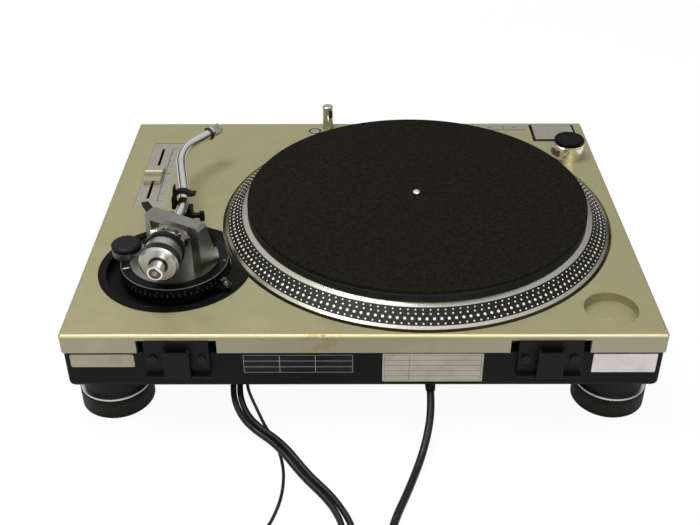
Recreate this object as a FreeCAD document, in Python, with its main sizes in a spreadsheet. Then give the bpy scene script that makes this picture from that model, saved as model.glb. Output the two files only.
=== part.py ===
import FreeCAD, Part
import math
import os
from types import SimpleNamespace

import Sketcher
from FreeCAD import Placement, Rotation, Vector

# A direct-drive turntable. Millimetres, Z up, floor at z = 0. X runs to the right as seen from the front,
# Y runs to the back, and the origin is under the middle of the case.

doc = FreeCAD.newDocument("turntable")

SIZES = {
    # Case
    "cabinet_width": 453.0,
    "cabinet_depth": 353.0,
    "cabinet_back": 173.0,
    "plate_level": 87.0,
    "cabinet_height": 16.7,
    "skin": 4.0,
    "cabinet_wall": 4.0,
    "cabinet_corner": 2.5,
    "cabinet_edge": 2.0,
    "base_inset": 1.0,
    "base_height": 35.0,
    "base_wall": 8.0,
    "base_floor": 6.0,
    "base_corner": 3.5,
    "base_edge": 6.0,
    "cover_length": 380.0,
    "cover_width": 280.0,
    "cover_thickness": 3.0,
    "cover_ledge": 10.0,
    "running_fit": 0.05,
    "loose_gap": 0.3,
    # Works on the cover
    "transformer_x": -140.0,
    "transformer_y": 60.0,
    "core_width": 66.0,
    "core_depth": 56.0,
    "core_height": 24.0,
    "coil_width": 40.0,
    "coil_depth": 72.0,
    "board_x": 60.0,
    "board_y": -85.0,
    "board_width": 160.0,
    "board_depth": 90.0,
    "board_lift": 6.0,
    "board_thickness": 1.6,
    "chip_width": 18.0,
    "chip_depth": 12.0,
    # Feet
    "foot_x": 197.7,
    "foot_inset": 32.5,
    "foot_radius": 28.8,
    "foot_height": 18.2,
    "foot_edge": 1.5,
    "foot_stem_radius": 8.0,
    "foot_stem_top": 28.0,
    "foot_trim_radius": 28.4,
    "foot_trim_height": 1.6,
    "foot_neck_radius": 25.6,
    # Platter and motor
    "platter_x": -47.3,
    "platter_behind_middle": 5.3,
    "platter_radius": 166.0,
    "well_play": 2.6,
    "well_floor_top": 74.5,
    "motor_opening": 60.0,
    "platter_top": 99.2,
    "flat_in": 18.8,
    "bevel_in": 15.0,
    "bevel_drop": 1.2,
    "cone_in": 2.4,
    "cone_foot": 89.6,
    "rim_top": 88.0,
    "rim_bottom": 78.0,
    "rim_wall": 6.0,
    "platter_web": 5.0,
    "hub_radius": 22.0,
    "hub_bottom": 86.0,
    "spindle_radius": 3.55,
    "spindle_shaft": 5.0,
    "spindle_top": 111.6,
    "spindle_bottom": 55.0,
    "mat_in": 19.5,
    "mat_thickness": 6.5,
    "slipmat_in": 19.8,
    "slipmat_thickness": 3.0,
    "magnet_outer": 72.0,
    "magnet_inner": 58.0,
    "magnet_height": 14.0,
    "stator_radius": 54.0,
    "stator_flange": 68.0,
    "stator_thickness": 4.0,
    "stator_top": 79.0,
    "bearing_radius": 10.0,
    "bearing_bottom": 50.0,
    "bearing_top": 84.0,
    # Tonearm base
    "pivot_x": 151.8,
    "pivot_behind_platter": 81.2,
    "arm_flange_radius": 62.0,
    "arm_flange_thickness": 0.8,
    "arm_dish_radius": 55.5,
    "arm_dish_wall": 2.5,
    "arm_dish_floor": 80.5,
    "arm_floor_thickness": 2.0,
    "boss_radius": 43.6,
    "boss_bore": 38.0,
    "column_radius": 10.0,
    "column_top": 90.0,
    "flat_from": 142.0,
    "flat_to": 252.0,
    "ring_top": 95.0,
    "ring_top_radius": 43.4,
    "ring_foot_radius": 44.4,
    "disc_top": 95.5,
    "disc_thickness": 5.0,
    "disc_radius": 35.5,
    "stem_radius": 14.0,
    "stem_bottom": 80.9,
    "lock_pin_out": 47.5,
    "lock_ball_out": 55.2,
    "lock_ball_turn": 144.5,
    "lock_pin_turn": 151.0,
    "lock_ball_radius": 4.0,
    # Arm bridge, in its own frame turned about the pivot
    "bridge_turn": -29.0,
    "bridge_clear": 0.8,
    "beam_thickness": 5.2,
    "bridge_rear": 7.9,
    "bridge_front": 3.5,
    "bridge_inner": 33.0,
    "bridge_inner_leg": 8.0,
    "buttress_front": 15.7,
    "buttress_top": 131.0,
    "bridge_outer": 19.0,
    "bridge_outer_leg": 5.0,
    "bridge_bevel": 2.5,
    "bridge_post": 5.0,
    "knob_beside_pivot": 39.5,
    "knob_before_pivot": 7.7,
    "knob_radius": 12.1,
    "knob_base_height": 5.8,
    "knob_cap_height": 4.6,
    # Arm, in a frame along the arm at rest
    "arm_turn": -94.6,
    "arm_level": 119.5,
    "arm_nose_up": 0.8,
    "tube_radius": 4.45,
    "tube_bore": 3.3,
    "arm_shaft_radius": 6.0,
    "arm_shaft_end": 56.0,
    "arm_hub_radius": 6.4,
    "arm_hub_half": 8.0,
    "gimbal_outer": 11.5,
    "gimbal_bore": 8.4,
    "gimbal_half": 4.0,
    "gimbal_pin": 2.0,
    "bearing_screw_radius": 4.4,
    "bearing_screw_reach": 11.8,
    "arm_pin_radius": 1.4,
    "spigot_radius": 4.3,
    "spigot_length": 3.0,
    "collar_bore": 4.1,
    "collar_radius": 5.2,
    "collar_ring_radius": 6.1,
    "collar_ring_length": 2.4,
    "collar_length": 13.5,
    "weight_back": 45.0,
    "weight_front": 26.4,
    "weight_radius": 14.7,
    "weight_ring_radius": 15.9,
    "weight_ring_length": 6.0,
    "dial_radius": 15.9,
    "dial_length": 5.6,
    # Cueing and arm rest, in the arm's frame
    "lift_along": 44.0,
    "lift_column_side": 16.0,
    "lift_inner_side": -14.5,
    "lift_end_radius": 2.2,
    "lift_bar_width": 4.0,
    "lift_bar_thickness": 3.0,
    "lift_gap": 4.2,
    "lift_column_radius": 2.5,
    "cue_housing_radius": 6.0,
    "cue_housing_top": 107.0,
    "bracket_thickness": 3.0,
    "cue_axis_level": 102.5,
    "cue_handle_along": 71.0,
    "cue_handle_side": 42.0,
    "cue_handle_width": 5.5,
    "rest_along": 50.6,
    "rest_inner_side": -5.0,
    "rest_depth": 8.4,
    "rest_gap": 1.3,
    "rest_play": 0.9,
    "clip_play": 1.5,
    "clip_lift": 1.6,
    "clip_band": 3.0,
    "clip_width": 5.4,
    "clip_lug": 1.2,
    "clip_pin_radius": 1.0,
    # Controls
    "panel_x": 189.8,
    "panel_from_front": 106.2,
    "panel_width": 28.2,
    "panel_length": 123.7,
    "panel_thickness": 2.0,
    "panel_recess": 0.3,
    "slot_x": 193.5,
    "slot_from_front": 104.2,
    "slot_width": 2.6,
    "slot_length": 96.8,
    "slider_from_front": 111.5,
    "slider_width": 15.9,
    "slider_length": 29.0,
    "slider_height": 3.4,
    "slider_ridge": 5.5,
    "start_x": -194.95,
    "start_from_front": 23.0,
    "start_recess_width": 45.1,
    "start_recess_length": 37.0,
    "start_gap": 2.6,
    "button_proud": 1.2,
    "button_travel": 1.5,
    "speed_slow_x": -156.4,
    "speed_fast_x": -132.0,
    "speed_from_front": 12.2,
    "speed_width": 21.8,
    "speed_length": 8.6,
    "lamp_x": 33.0,
    "lamp_from_front": 9.0,
    "lamp_radius": 5.2,
    "lamp_top": 111.0,
    "lamp_bottom": 72.0,
    "lamp_travel": 22.0,
    "lamp_button_x": 46.0,
    "lamp_button_from_front": 17.8,
    "lamp_button_radius": 4.7,
    "lamp_recess_radius": 6.25,
    "post_x": -200.4,
    "post_from_front": 72.7,
    "post_radius": 13.9,
    "post_height": 15.5,
    "post_cap_radius": 14.3,
    "post_rim": 2.2,
    "post_cap_height": 3.8,
    "snout_turn": 35.6,
    "snout_reach": 17.6,
    "snout_width": 12.0,
    "snout_bottom": 4.0,
    "snout_top": 13.0,
    "adapter_x": -189.7,
    "adapter_from_back": 32.7,
    "adapter_radius": 20.85,
    "adapter_depth": 7.4,
    "adapter_chord": 3.0,
    "adapter_fall": 3.0,
    "adapter_ledge": 0.6,
    # Back
    "hinge_x": 139.6,
    "hinge_notch": 60.0,
    "hinge_notch_top": 82.0,
    "hinge_block": 48.3,
    "hinge_bottom": 50.0,
    "hinge_front": 169.3,
    "hinge_back": 174.5,
    "hinge_tab": 19.8,
    "hinge_tab_back": 180.0,
    "hinge_tab_top": 75.0,
    "hinge_slot": 15.4,
    "hinge_slot_depth": 4.5,
    "screw_radius": 3.4,
    "hinge_screw_out": 18.2,
    "hinge_screw_level": 66.0,
    "cover_screw_in": 22.5,
    "label_thickness": 0.6,
    "rating_from": 6.7,
    "rating_to": 91.8,
    "rating_low": 50.0,
    "rating_high": 69.0,
    "plate_from": 172.4,
    "plate_to": 217.2,
    "plate_low": 56.5,
    "plate_high": 68.5,
    "label_from": -90.3,
    "label_to": -14.3,
    "label_low": 44.0,
    "sticker_low": 51.0,
    # Cords
    "mains_diameter": 6.0,
    "phono_diameter": 4.8,
    "ground_diameter": 2.5,
    "gland_back": 148.0,
    "gland_depth": 14.0,
    "gland_level": 31.0,
    "gland_bottom": 24.0,
}


class Size:
    """A number with the sheet expression that gives it, so that sums of sizes stay tied to the sheet."""

    def __init__(self, value, text):
        self.value = value
        self.text = text

    def __add__(self, other):
        other = as_size(other)
        return Size(self.value + other.value, f"({self.text} + {other.text})")

    def __sub__(self, other):
        other = as_size(other)
        return Size(self.value - other.value, f"({self.text} - {other.text})")

    def __mul__(self, other):
        other = as_size(other)
        return Size(self.value * other.value, f"({self.text} * {other.text})")

    def __truediv__(self, other):
        other = as_size(other)
        return Size(self.value / other.value, f"({self.text} / {other.text})")

    def __radd__(self, other):
        return as_size(other) + self

    def __rsub__(self, other):
        return as_size(other) - self

    def __rmul__(self, other):
        return as_size(other) * self

    def __neg__(self):
        return as_size(0) - self


def as_size(number):
    return number if isinstance(number, Size) else Size(float(number), repr(float(number)))


def cosine(angle):
    angle = as_size(angle)
    return Size(math.cos(math.radians(angle.value)), f"cos({angle.text} * 1 deg)")


def sine(angle):
    angle = as_size(angle)
    return Size(math.sin(math.radians(angle.value)), f"sin({angle.text} * 1 deg)")


sheet = doc.addObject("Spreadsheet::Sheet", "sizes")
dim = SimpleNamespace()
for row, (alias, number) in enumerate(SIZES.items(), start=1):
    sheet.set(f"A{row}", alias)
    sheet.set(f"B{row}", str(number))
    sheet.setAlias(f"B{row}", alias)
    setattr(dim, alias, Size(number, f"sizes.{alias}"))
doc.recompute()

nodes = []
UP = Vector(0, 0, 1)
ALONG_X = Rotation(Vector(0, 1, 0), 90)
ALONG_Y = Rotation(Vector(1, 0, 0), -90)
CORNERS = ((-1, -1), (1, -1), (1, 1), (-1, 1))


def bind(obj, prop, size):
    obj.setExpression(prop, as_size(size).text)


def place(obj, x=0, y=0, z=0, rotation=None):
    """Puts an object at a point given in sizes, turned first by a fixed rotation."""
    spot = Vector(as_size(x).value, as_size(y).value, as_size(z).value)
    obj.Placement = Placement(spot, rotation or Rotation())
    for axis, size in (("x", x), ("y", y), ("z", z)):
        bind(obj, f"Placement.Base.{axis}", size)
    return obj


def node(obj, name):
    """Names a finished sub-part, which is exported under that name."""
    obj.Label = name
    nodes.append(obj)
    return obj


def cylinder(radius, low, high, x=0, y=0):
    """An upright cylinder between two levels."""
    obj = doc.addObject("Part::Cylinder", "round")
    bind(obj, "Radius", radius)
    bind(obj, "Height", high - low)
    return place(obj, x, y, low)


def rod(radius, length, x, y, z, rotation):
    """A cylinder that starts at a point and runs along a turned Z axis."""
    obj = doc.addObject("Part::Cylinder", "rod")
    bind(obj, "Radius", radius)
    bind(obj, "Height", length)
    return place(obj, x, y, z, rotation)


def block(x_from, x_to, y_from, y_to, low, high):
    """A box between two corners."""
    obj = doc.addObject("Part::Box", "block")
    bind(obj, "Length", x_to - x_from)
    bind(obj, "Width", y_to - y_from)
    bind(obj, "Height", high - low)
    return place(obj, x_from, y_from, low)


def centred(x, y, width, length, low, high):
    """An upright box about a centre."""
    return block(x - width / 2, x + width / 2, y - length / 2, y + length / 2, low, high)


def cut(base, *tools):
    obj = doc.addObject("Part::Cut", "cut")
    obj.Base = base
    obj.Tool = tools[0] if len(tools) == 1 else fuse(*tools)
    return obj


def fuse(*pieces):
    obj = doc.addObject("Part::MultiFuse", "fused")
    obj.Shapes = list(pieces)
    obj.Refine = True
    return obj


def common(first, second):
    obj = doc.addObject("Part::Common", "common")
    obj.Base = first
    obj.Tool = second
    return obj


def group(*pieces):
    """Separate solids that share one node."""
    obj = doc.addObject("Part::Compound", "group")
    obj.Links = list(pieces)
    return obj


def outline(body, role, points):
    """A closed outline in one of the body's origin planes, each corner tied to the origin."""
    sketch = body.newObject("Sketcher::SketchObject", "outline")
    plane = [item for item in body.Origin.OriginFeatures if item.Role == role][0]
    sketch.AttachmentSupport = [(plane, "")]
    sketch.MapMode = "FlatFace"
    points = [(as_size(across), as_size(up)) for across, up in points]
    spots = [Vector(across.value, up.value, 0) for across, up in points]
    count = len(spots)
    for index in range(count):
        sketch.addGeometry(Part.LineSegment(spots[index], spots[(index + 1) % count]), False)
    for index in range(count):
        sketch.addConstraint(Sketcher.Constraint("Coincident", index, 2, (index + 1) % count, 1))
    for index, corner in enumerate(points):
        for kind, size in zip(("DistanceX", "DistanceY"), corner):
            number = sketch.addConstraint(Sketcher.Constraint(kind, -1, 1, index, 1, size.value))
            if "sizes" in size.text:
                sketch.setExpression(f"Constraints[{number}]", size.text)
    return sketch


def turned(profile, x=0, y=0, z=0, rotation=None):
    """A solid of revolution about its own upright axis, from (radius, height) corners."""
    body = doc.addObject("PartDesign::Body", "turned")
    sketch = outline(body, "XZ_Plane", profile)
    solid = body.newObject("PartDesign::Revolution", "revolution")
    solid.Profile = sketch
    solid.ReferenceAxis = (sketch, ["V_Axis"])
    solid.Angle = 360
    body.Tip = solid
    return place(body, x, y, z, rotation)


def padded(corners, height, x=0, y=0, z=0, rotation=None):
    """A flat outline padded upwards."""
    body = doc.addObject("PartDesign::Body", "padded")
    sketch = outline(body, "XY_Plane", corners)
    pad = body.newObject("PartDesign::Pad", "pad")
    pad.Profile = sketch
    bind(pad, "Length", height)
    body.Tip = pad
    return place(body, x, y, z, rotation)


def upright(corners, depth, x=0, y=0, z=0, rotation=None):
    """An outline in the body's XZ plane, padded to both sides of it."""
    body = doc.addObject("PartDesign::Body", "upright")
    sketch = outline(body, "XZ_Plane", corners)
    pad = body.newObject("PartDesign::Pad", "pad")
    pad.Profile = sketch
    pad.Midplane = True
    bind(pad, "Length", depth)
    body.Tip = pad
    return place(body, x, y, z, rotation)


def softened(body, kind, size, pick):
    """Rounds or bevels those edges of a body's last feature that pick() accepts."""
    doc.recompute()
    last = body.Tip
    names = [f"Edge{number}" for number, edge in enumerate(last.Shape.Edges, 1) if pick(edge)]
    feature = body.newObject(f"PartDesign::{kind}", kind.lower())
    feature.Base = (last, names)
    bind(feature, "Radius" if kind == "Fillet" else "Size", size)
    body.Tip = feature
    return body


def edge_runs(edge, axis):
    """True for a straight edge along X (0), Y (1) or Z (2)."""
    start = edge.Vertexes[0].Point
    end = edge.Vertexes[-1].Point
    spread = [abs(start[i] - end[i]) for i in range(3)]
    return len(edge.Vertexes) == 2 and spread[axis] > 0.01 and sum(spread) - spread[axis] < 0.001


def edge_level(edge):
    return edge.CenterOfMass.z


def arc_between(start, apex, end):
    """The arc that leaves start towards apex and arrives at end from apex, both the same distance away."""
    middle = (start + end) * 0.5
    flatness = (middle - start).Length / (apex - start).Length
    crown = apex + (middle - apex) * (1 / (1 + flatness))
    return Part.Arc(start, crown, end)


def smooth_path(route, name=None, diameter=1.0):
    """Straight runs with an arc at each inner point, as large as its two runs allow."""
    edges = []
    radii = []
    last = route[0]
    for before, corner, after in zip(route, route[1:], route[2:]):
        incoming = corner - before
        outgoing = after - corner
        turn = incoming.getAngle(outgoing)
        reach = 0.45 * min(incoming.Length, outgoing.Length)
        radii.append(reach / math.tan(turn / 2))
        start = corner - incoming.normalize() * reach
        end = corner + outgoing.normalize() * reach
        edges.append(Part.LineSegment(last, start))
        edges.append(arc_between(start, corner, end))
        last = end
    edges.append(Part.LineSegment(last, route[-1]))
    if name:
        print(name, "smallest radius in diameters", round(min(radii) / diameter, 1))
    return Part.Wire([edge.toShape() for edge in edges])


def swept(path, radius):
    """A round tube along a path, with its volume checked against section times length."""
    start = path.Edges[0]
    heading = start.tangentAt(start.FirstParameter)
    section = Part.Wire([Part.Circle(start.valueAt(start.FirstParameter), heading, radius).toShape()])
    solid = path.makePipeShell([section], True, False)
    expected = math.pi * radius ** 2 * path.Length
    if abs(solid.Volume / expected - 1) > 0.01:
        print("volume differs", solid.Volume, expected)
    return solid


def feature(shape, name):
    obj = doc.addObject("Part::Feature", name)
    obj.Shape = shape
    return obj


# Case: the top casting with its platter well, the rubber base under it and a cover under that.
cabinet_front = dim.cabinet_back - dim.cabinet_depth
cabinet_middle = dim.cabinet_back - dim.cabinet_depth / 2
case_seam = dim.plate_level - dim.cabinet_height
skin_under = dim.plate_level - dim.skin
base_bottom = case_seam - dim.base_height
above = dim.plate_level + 10
platter_y = cabinet_middle + dim.platter_behind_middle
well_radius = dim.platter_radius + dim.well_play
well_wall_radius = well_radius + dim.cabinet_wall
pivot_y = platter_y + dim.pivot_behind_platter
panel_y = cabinet_front + dim.panel_from_front
slot_y = cabinet_front + dim.slot_from_front
slider_y = cabinet_front + dim.slider_from_front
start_y = cabinet_front + dim.start_from_front
speed_y = cabinet_front + dim.speed_from_front
lamp_y = cabinet_front + dim.lamp_from_front
lamp_button_y = cabinet_front + dim.lamp_button_from_front
post_y = cabinet_front + dim.post_from_front
adapter_y = dim.cabinet_back - dim.adapter_from_back


def rectangle(width, length):
    return [(width / 2 * sx, length / 2 * sy) for sx, sy in CORNERS]


top_outline = rectangle(dim.cabinet_width, dim.cabinet_depth)
top_block = padded(top_outline, dim.cabinet_height, 0, cabinet_middle, case_seam)
softened(top_block, "Fillet", dim.cabinet_corner, lambda edge: edge_runs(edge, 2))
softened(top_block, "Fillet", dim.cabinet_edge,
         lambda edge: abs(edge_level(edge) - dim.cabinet_height.value) < 0.01)

well = cylinder(well_radius, dim.well_floor_top, above, dim.platter_x, platter_y)
motor_hole = cylinder(dim.motor_opening, case_seam - 1, above, dim.platter_x, platter_y)
inside = centred(0, cabinet_middle, dim.cabinet_width - dim.cabinet_wall * 2,
                 dim.cabinet_depth - dim.cabinet_wall * 2, case_seam - 1, skin_under)
well_body = cylinder(well_wall_radius, case_seam - 2, above, dim.platter_x, platter_y)
adapter_boss = cylinder(dim.adapter_radius + 2, skin_under - dim.adapter_depth - 1, skin_under + 1,
                        dim.adapter_x, adapter_y)
tray_width = dim.start_recess_width + 5
tray_length = dim.start_recess_length + 4
tray_floor = skin_under - 3
start_tray = centred(dim.start_x, start_y, tray_width, tray_length, tray_floor - 2, skin_under + 1)
hollow = cut(inside, well_body, adapter_boss, start_tray)

arm_barrel_radius = dim.arm_dish_radius + dim.arm_dish_wall
arm_hole = cut(cylinder(arm_barrel_radius + dim.loose_gap, case_seam - 1, above, dim.pivot_x, pivot_y),
               cylinder(well_wall_radius, case_seam - 2, above + 1, dim.platter_x, platter_y))
panel_top = dim.plate_level - dim.panel_recess
panel_seat = panel_top - dim.panel_thickness
panel_pocket = centred(dim.panel_x, panel_y, dim.panel_width, dim.panel_length, panel_seat, above)
panel_window = centred(dim.slot_x, slot_y, dim.slot_width + 8, dim.slot_length + 6, case_seam - 1, above)
start_recess = centred(dim.start_x, start_y, dim.start_recess_width, dim.start_recess_length, tray_floor,
                       above)
start_guide = cylinder(4 + dim.running_fit, case_seam - 1, above, dim.start_x, start_y)
speed_holes = [centred(x, speed_y, dim.speed_width + dim.loose_gap * 2, dim.speed_length + dim.loose_gap * 2,
                       case_seam - 1, above) for x in (dim.speed_slow_x, dim.speed_fast_x)]
lamp_hole = cylinder(dim.lamp_radius + dim.loose_gap, case_seam - 1, above, dim.lamp_x, lamp_y)
lamp_button_hole = cylinder(dim.lamp_button_radius + dim.loose_gap, case_seam - 1, above,
                            dim.lamp_button_x, lamp_button_y)
lamp_button_recess = cylinder(dim.lamp_recess_radius, dim.plate_level - 1.2, above,
                              dim.lamp_button_x, lamp_button_y)
post_bore = cylinder(5, case_seam - 1, above, dim.post_x, post_y)

adapter_floor = dim.plate_level - dim.adapter_depth
adapter_hole = cylinder(dim.adapter_radius, adapter_floor, above, dim.adapter_x, adapter_y)
slope_reach = dim.adapter_radius * 1.1
adapter_slope = upright([(0, 0), (slope_reach, 0), (slope_reach, -dim.adapter_fall)],
                        dim.adapter_radius * 2.2, dim.adapter_x, adapter_y + dim.adapter_chord,
                        adapter_floor, Rotation(UP, 90))
adapter_inside = cylinder(dim.adapter_radius - dim.adapter_ledge, adapter_floor - 10, above, dim.adapter_x,
                          adapter_y)
adapter_ramp = common(adapter_slope, adapter_inside)

hinge_sides = (dim.hinge_x, -dim.hinge_x)
cabinet_notches = [centred(x, dim.cabinet_back, dim.hinge_notch, dim.cabinet_wall * 2 + 0.2,
                           case_seam - 1, dim.hinge_notch_top) for x in hinge_sides]
cabinet_top = cut(top_block, well, motor_hole, hollow, arm_hole, panel_pocket, panel_window, start_recess,
                  start_guide, *speed_holes, lamp_hole, lamp_button_hole, lamp_button_recess, post_bore,
                  adapter_hole, adapter_ramp, *cabinet_notches)
node(cabinet_top, "cabinet_top")

base_width = dim.cabinet_width - dim.base_inset * 2
base_depth = dim.cabinet_depth - dim.base_inset * 2
base_back = dim.cabinet_back - dim.base_inset
base_block = padded(rectangle(base_width, base_depth), dim.base_height, 0, cabinet_middle, base_bottom)
softened(base_block, "Fillet", dim.base_corner, lambda edge: edge_runs(edge, 2))
softened(base_block, "Fillet", dim.base_edge, lambda edge: abs(edge_level(edge)) < 0.01)
base_hollow = centred(0, cabinet_middle, base_width - dim.base_wall * 2, base_depth - dim.base_wall * 2,
                      base_bottom + dim.base_floor, case_seam + 1)
cover_recess = centred(0, cabinet_middle, dim.cover_length, dim.cover_width, base_bottom - 1,
                       base_bottom + dim.cover_thickness)
cover_opening = centred(0, cabinet_middle, dim.cover_length - dim.cover_ledge * 2,
                        dim.cover_width - dim.cover_ledge * 2, base_bottom, case_seam)
hinge_pockets = [centred(x, base_back, dim.hinge_block + 0.4, (base_back - dim.hinge_front) * 2,
                         dim.hinge_bottom, case_seam + 1) for x in hinge_sides]
lamp_well = cylinder(dim.lamp_radius + dim.loose_gap, dim.lamp_bottom - dim.lamp_travel - 1, case_seam + 1,
                     dim.lamp_x, lamp_y)
node(cut(base_block, base_hollow, cover_recess, cover_opening, lamp_well, *hinge_pockets), "cabinet_base")

cover_play = 0.3
bottom_cover = centred(0, cabinet_middle, dim.cover_length - cover_play * 2, dim.cover_width - cover_play * 2,
                       base_bottom + cover_play, base_bottom + dim.cover_thickness)
node(bottom_cover, "bottom_cover")

# Unseen inside: supply transformer and main board on the cover, motor stator under the well floor.
floor_inside = base_bottom + dim.cover_thickness
transformer_core = centred(dim.transformer_x, dim.transformer_y, dim.core_width, dim.core_depth, floor_inside,
                           floor_inside + dim.core_height)
transformer_coil = centred(dim.transformer_x, dim.transformer_y, dim.coil_width, dim.coil_depth,
                           floor_inside + 2, floor_inside + dim.core_height - 2)
node(fuse(transformer_core, transformer_coil), "transformer")
board_under = floor_inside + dim.board_lift
board_top = board_under + dim.board_thickness
board = centred(dim.board_x, dim.board_y, dim.board_width, dim.board_depth, board_under, board_top)
spacers = [cylinder(3, floor_inside, board_under + 0.5, dim.board_x + (dim.board_width / 2 - 8) * sx,
                    dim.board_y + (dim.board_depth / 2 - 7) * sy) for sx, sy in CORNERS]
chips = [centred(dim.board_x + dim.board_width / 4 * step, dim.board_y, dim.chip_width, dim.chip_depth,
                 board_top - 0.1, board_top + 3.4) for step in (-1, 0, 1)]
node(fuse(board, *spacers, *chips), "circuit_board")

stator_profile = [
    (dim.bearing_radius + dim.running_fit, case_seam - dim.stator_thickness),
    (dim.stator_flange, case_seam - dim.stator_thickness),
    (dim.stator_flange, case_seam),
    (dim.stator_radius, case_seam),
    (dim.stator_radius, dim.stator_top),
    (dim.bearing_radius + dim.running_fit, dim.stator_top),
]
node(turned(stator_profile, dim.platter_x, platter_y), "motor_stator")
bearing_profile = [
    (dim.spindle_shaft + dim.running_fit, dim.bearing_bottom + 3),
    (dim.spindle_shaft + dim.running_fit, dim.bearing_top),
    (dim.bearing_radius, dim.bearing_top),
    (dim.bearing_radius, case_seam - dim.stator_thickness),
    (dim.bearing_radius + 6, case_seam - dim.stator_thickness),
    (dim.bearing_radius + 6, case_seam - dim.stator_thickness - 3),
    (dim.bearing_radius, case_seam - dim.stator_thickness - 3),
    (dim.bearing_radius, dim.bearing_bottom),
    (0, dim.bearing_bottom),
    (0, dim.bearing_bottom + 3),
]
node(turned(bearing_profile, dim.platter_x, platter_y), "spindle_bearing")

# Feet: a fixed neck with a bright trim ring, and a knurled foot that screws into it.
foot_places = {
    "foot_front_left": (-dim.foot_x, cabinet_front + dim.foot_inset),
    "foot_front_right": (dim.foot_x, cabinet_front + dim.foot_inset),
    "foot_rear_left": (-dim.foot_x, dim.cabinet_back - dim.foot_inset),
    "foot_rear_right": (dim.foot_x, dim.cabinet_back - dim.foot_inset),
}
trim_bottom = dim.foot_height + dim.loose_gap
neck_bottom = trim_bottom + dim.foot_trim_height
foot_bore = dim.foot_stem_radius + dim.running_fit
neck_profile = [
    (foot_bore, neck_bottom),
    (dim.foot_neck_radius, neck_bottom),
    (dim.foot_neck_radius, base_bottom),
    (0, base_bottom),
    (0, dim.foot_stem_top + 4),
    (foot_bore, dim.foot_stem_top + 4),
]
trim_profile = [
    (foot_bore + 1, trim_bottom),
    (dim.foot_trim_radius, trim_bottom),
    (dim.foot_trim_radius, neck_bottom),
    (foot_bore + 1, neck_bottom),
]
foot_profile = [
    (0, 0),
    (dim.foot_radius - dim.foot_edge, 0),
    (dim.foot_radius, dim.foot_edge),
    (dim.foot_radius, dim.foot_height - 1),
    (dim.foot_radius - 1, dim.foot_height),
    (dim.foot_stem_radius, dim.foot_height),
    (dim.foot_stem_radius, dim.foot_stem_top),
    (0, dim.foot_stem_top),
]
node(group(*[turned(neck_profile, x, y) for x, y in foot_places.values()]), "foot_cups")
node(group(*[turned(trim_profile, x, y) for x, y in foot_places.values()]), "foot_trims")
for name, (x, y) in foot_places.items():
    node(turned(foot_profile, x, y), name)

# Platter with its rim, rubber mat, felt slipmat, spindle and rotor magnet.
bevel_level = dim.platter_top - dim.bevel_drop
web_under = dim.platter_top - dim.platter_web
platter_bore = dim.spindle_shaft + 0.02
bevel_radius = dim.platter_radius - dim.bevel_in
platter_profile = [
    (platter_bore, dim.platter_top),
    (dim.platter_radius - dim.flat_in, dim.platter_top),
    (bevel_radius, bevel_level),
    (dim.platter_radius - dim.cone_in, dim.cone_foot),
    (dim.platter_radius, dim.rim_top),
    (dim.platter_radius, dim.rim_bottom),
    (dim.platter_radius - dim.rim_wall, dim.rim_bottom),
    (dim.platter_radius - dim.rim_wall, dim.cone_foot - 4),
    (bevel_radius - 3, web_under),
    (dim.hub_radius, web_under),
    (dim.hub_radius, dim.hub_bottom),
    (platter_bore, dim.hub_bottom),
]
node(turned(platter_profile, dim.platter_x, platter_y), "platter")
mat_bore = dim.spindle_radius + dim.loose_gap
mat_top = dim.platter_top + dim.mat_thickness
mat_radius = dim.platter_radius - dim.mat_in
mat_profile = [
    (mat_bore, dim.platter_top),
    (mat_radius, dim.platter_top),
    (mat_radius, mat_top - 1.5),
    (mat_radius - 1.5, mat_top),
    (mat_bore, mat_top),
]
node(turned(mat_profile, dim.platter_x, platter_y), "rubber_mat")
slipmat_bottom = mat_top + dim.loose_gap
slipmat_top = slipmat_bottom + dim.slipmat_thickness
slipmat_radius = dim.platter_radius - dim.slipmat_in
slipmat_profile = [
    (mat_bore, slipmat_bottom),
    (slipmat_radius, slipmat_bottom),
    (slipmat_radius, slipmat_top - 0.8),
    (slipmat_radius - 0.8, slipmat_top),
    (mat_bore, slipmat_top),
]
node(turned(slipmat_profile, dim.platter_x, platter_y), "slipmat")
spindle_profile = [
    (0, dim.spindle_bottom),
    (dim.spindle_shaft, dim.spindle_bottom),
    (dim.spindle_shaft, dim.platter_top),
    (dim.spindle_radius, dim.platter_top),
    (dim.spindle_radius, dim.spindle_top - 1.4),
    (dim.spindle_radius - 0.6, dim.spindle_top - 0.5),
    (dim.spindle_radius - 1.8, dim.spindle_top),
    (0, dim.spindle_top),
]
node(turned(spindle_profile, dim.platter_x, platter_y), "spindle")
magnet_profile = [
    (dim.magnet_inner, web_under - dim.magnet_height),
    (dim.magnet_outer, web_under - dim.magnet_height),
    (dim.magnet_outer, web_under),
    (dim.magnet_inner, web_under),
]
node(turned(magnet_profile, dim.platter_x, platter_y), "rotor_magnet")

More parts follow.
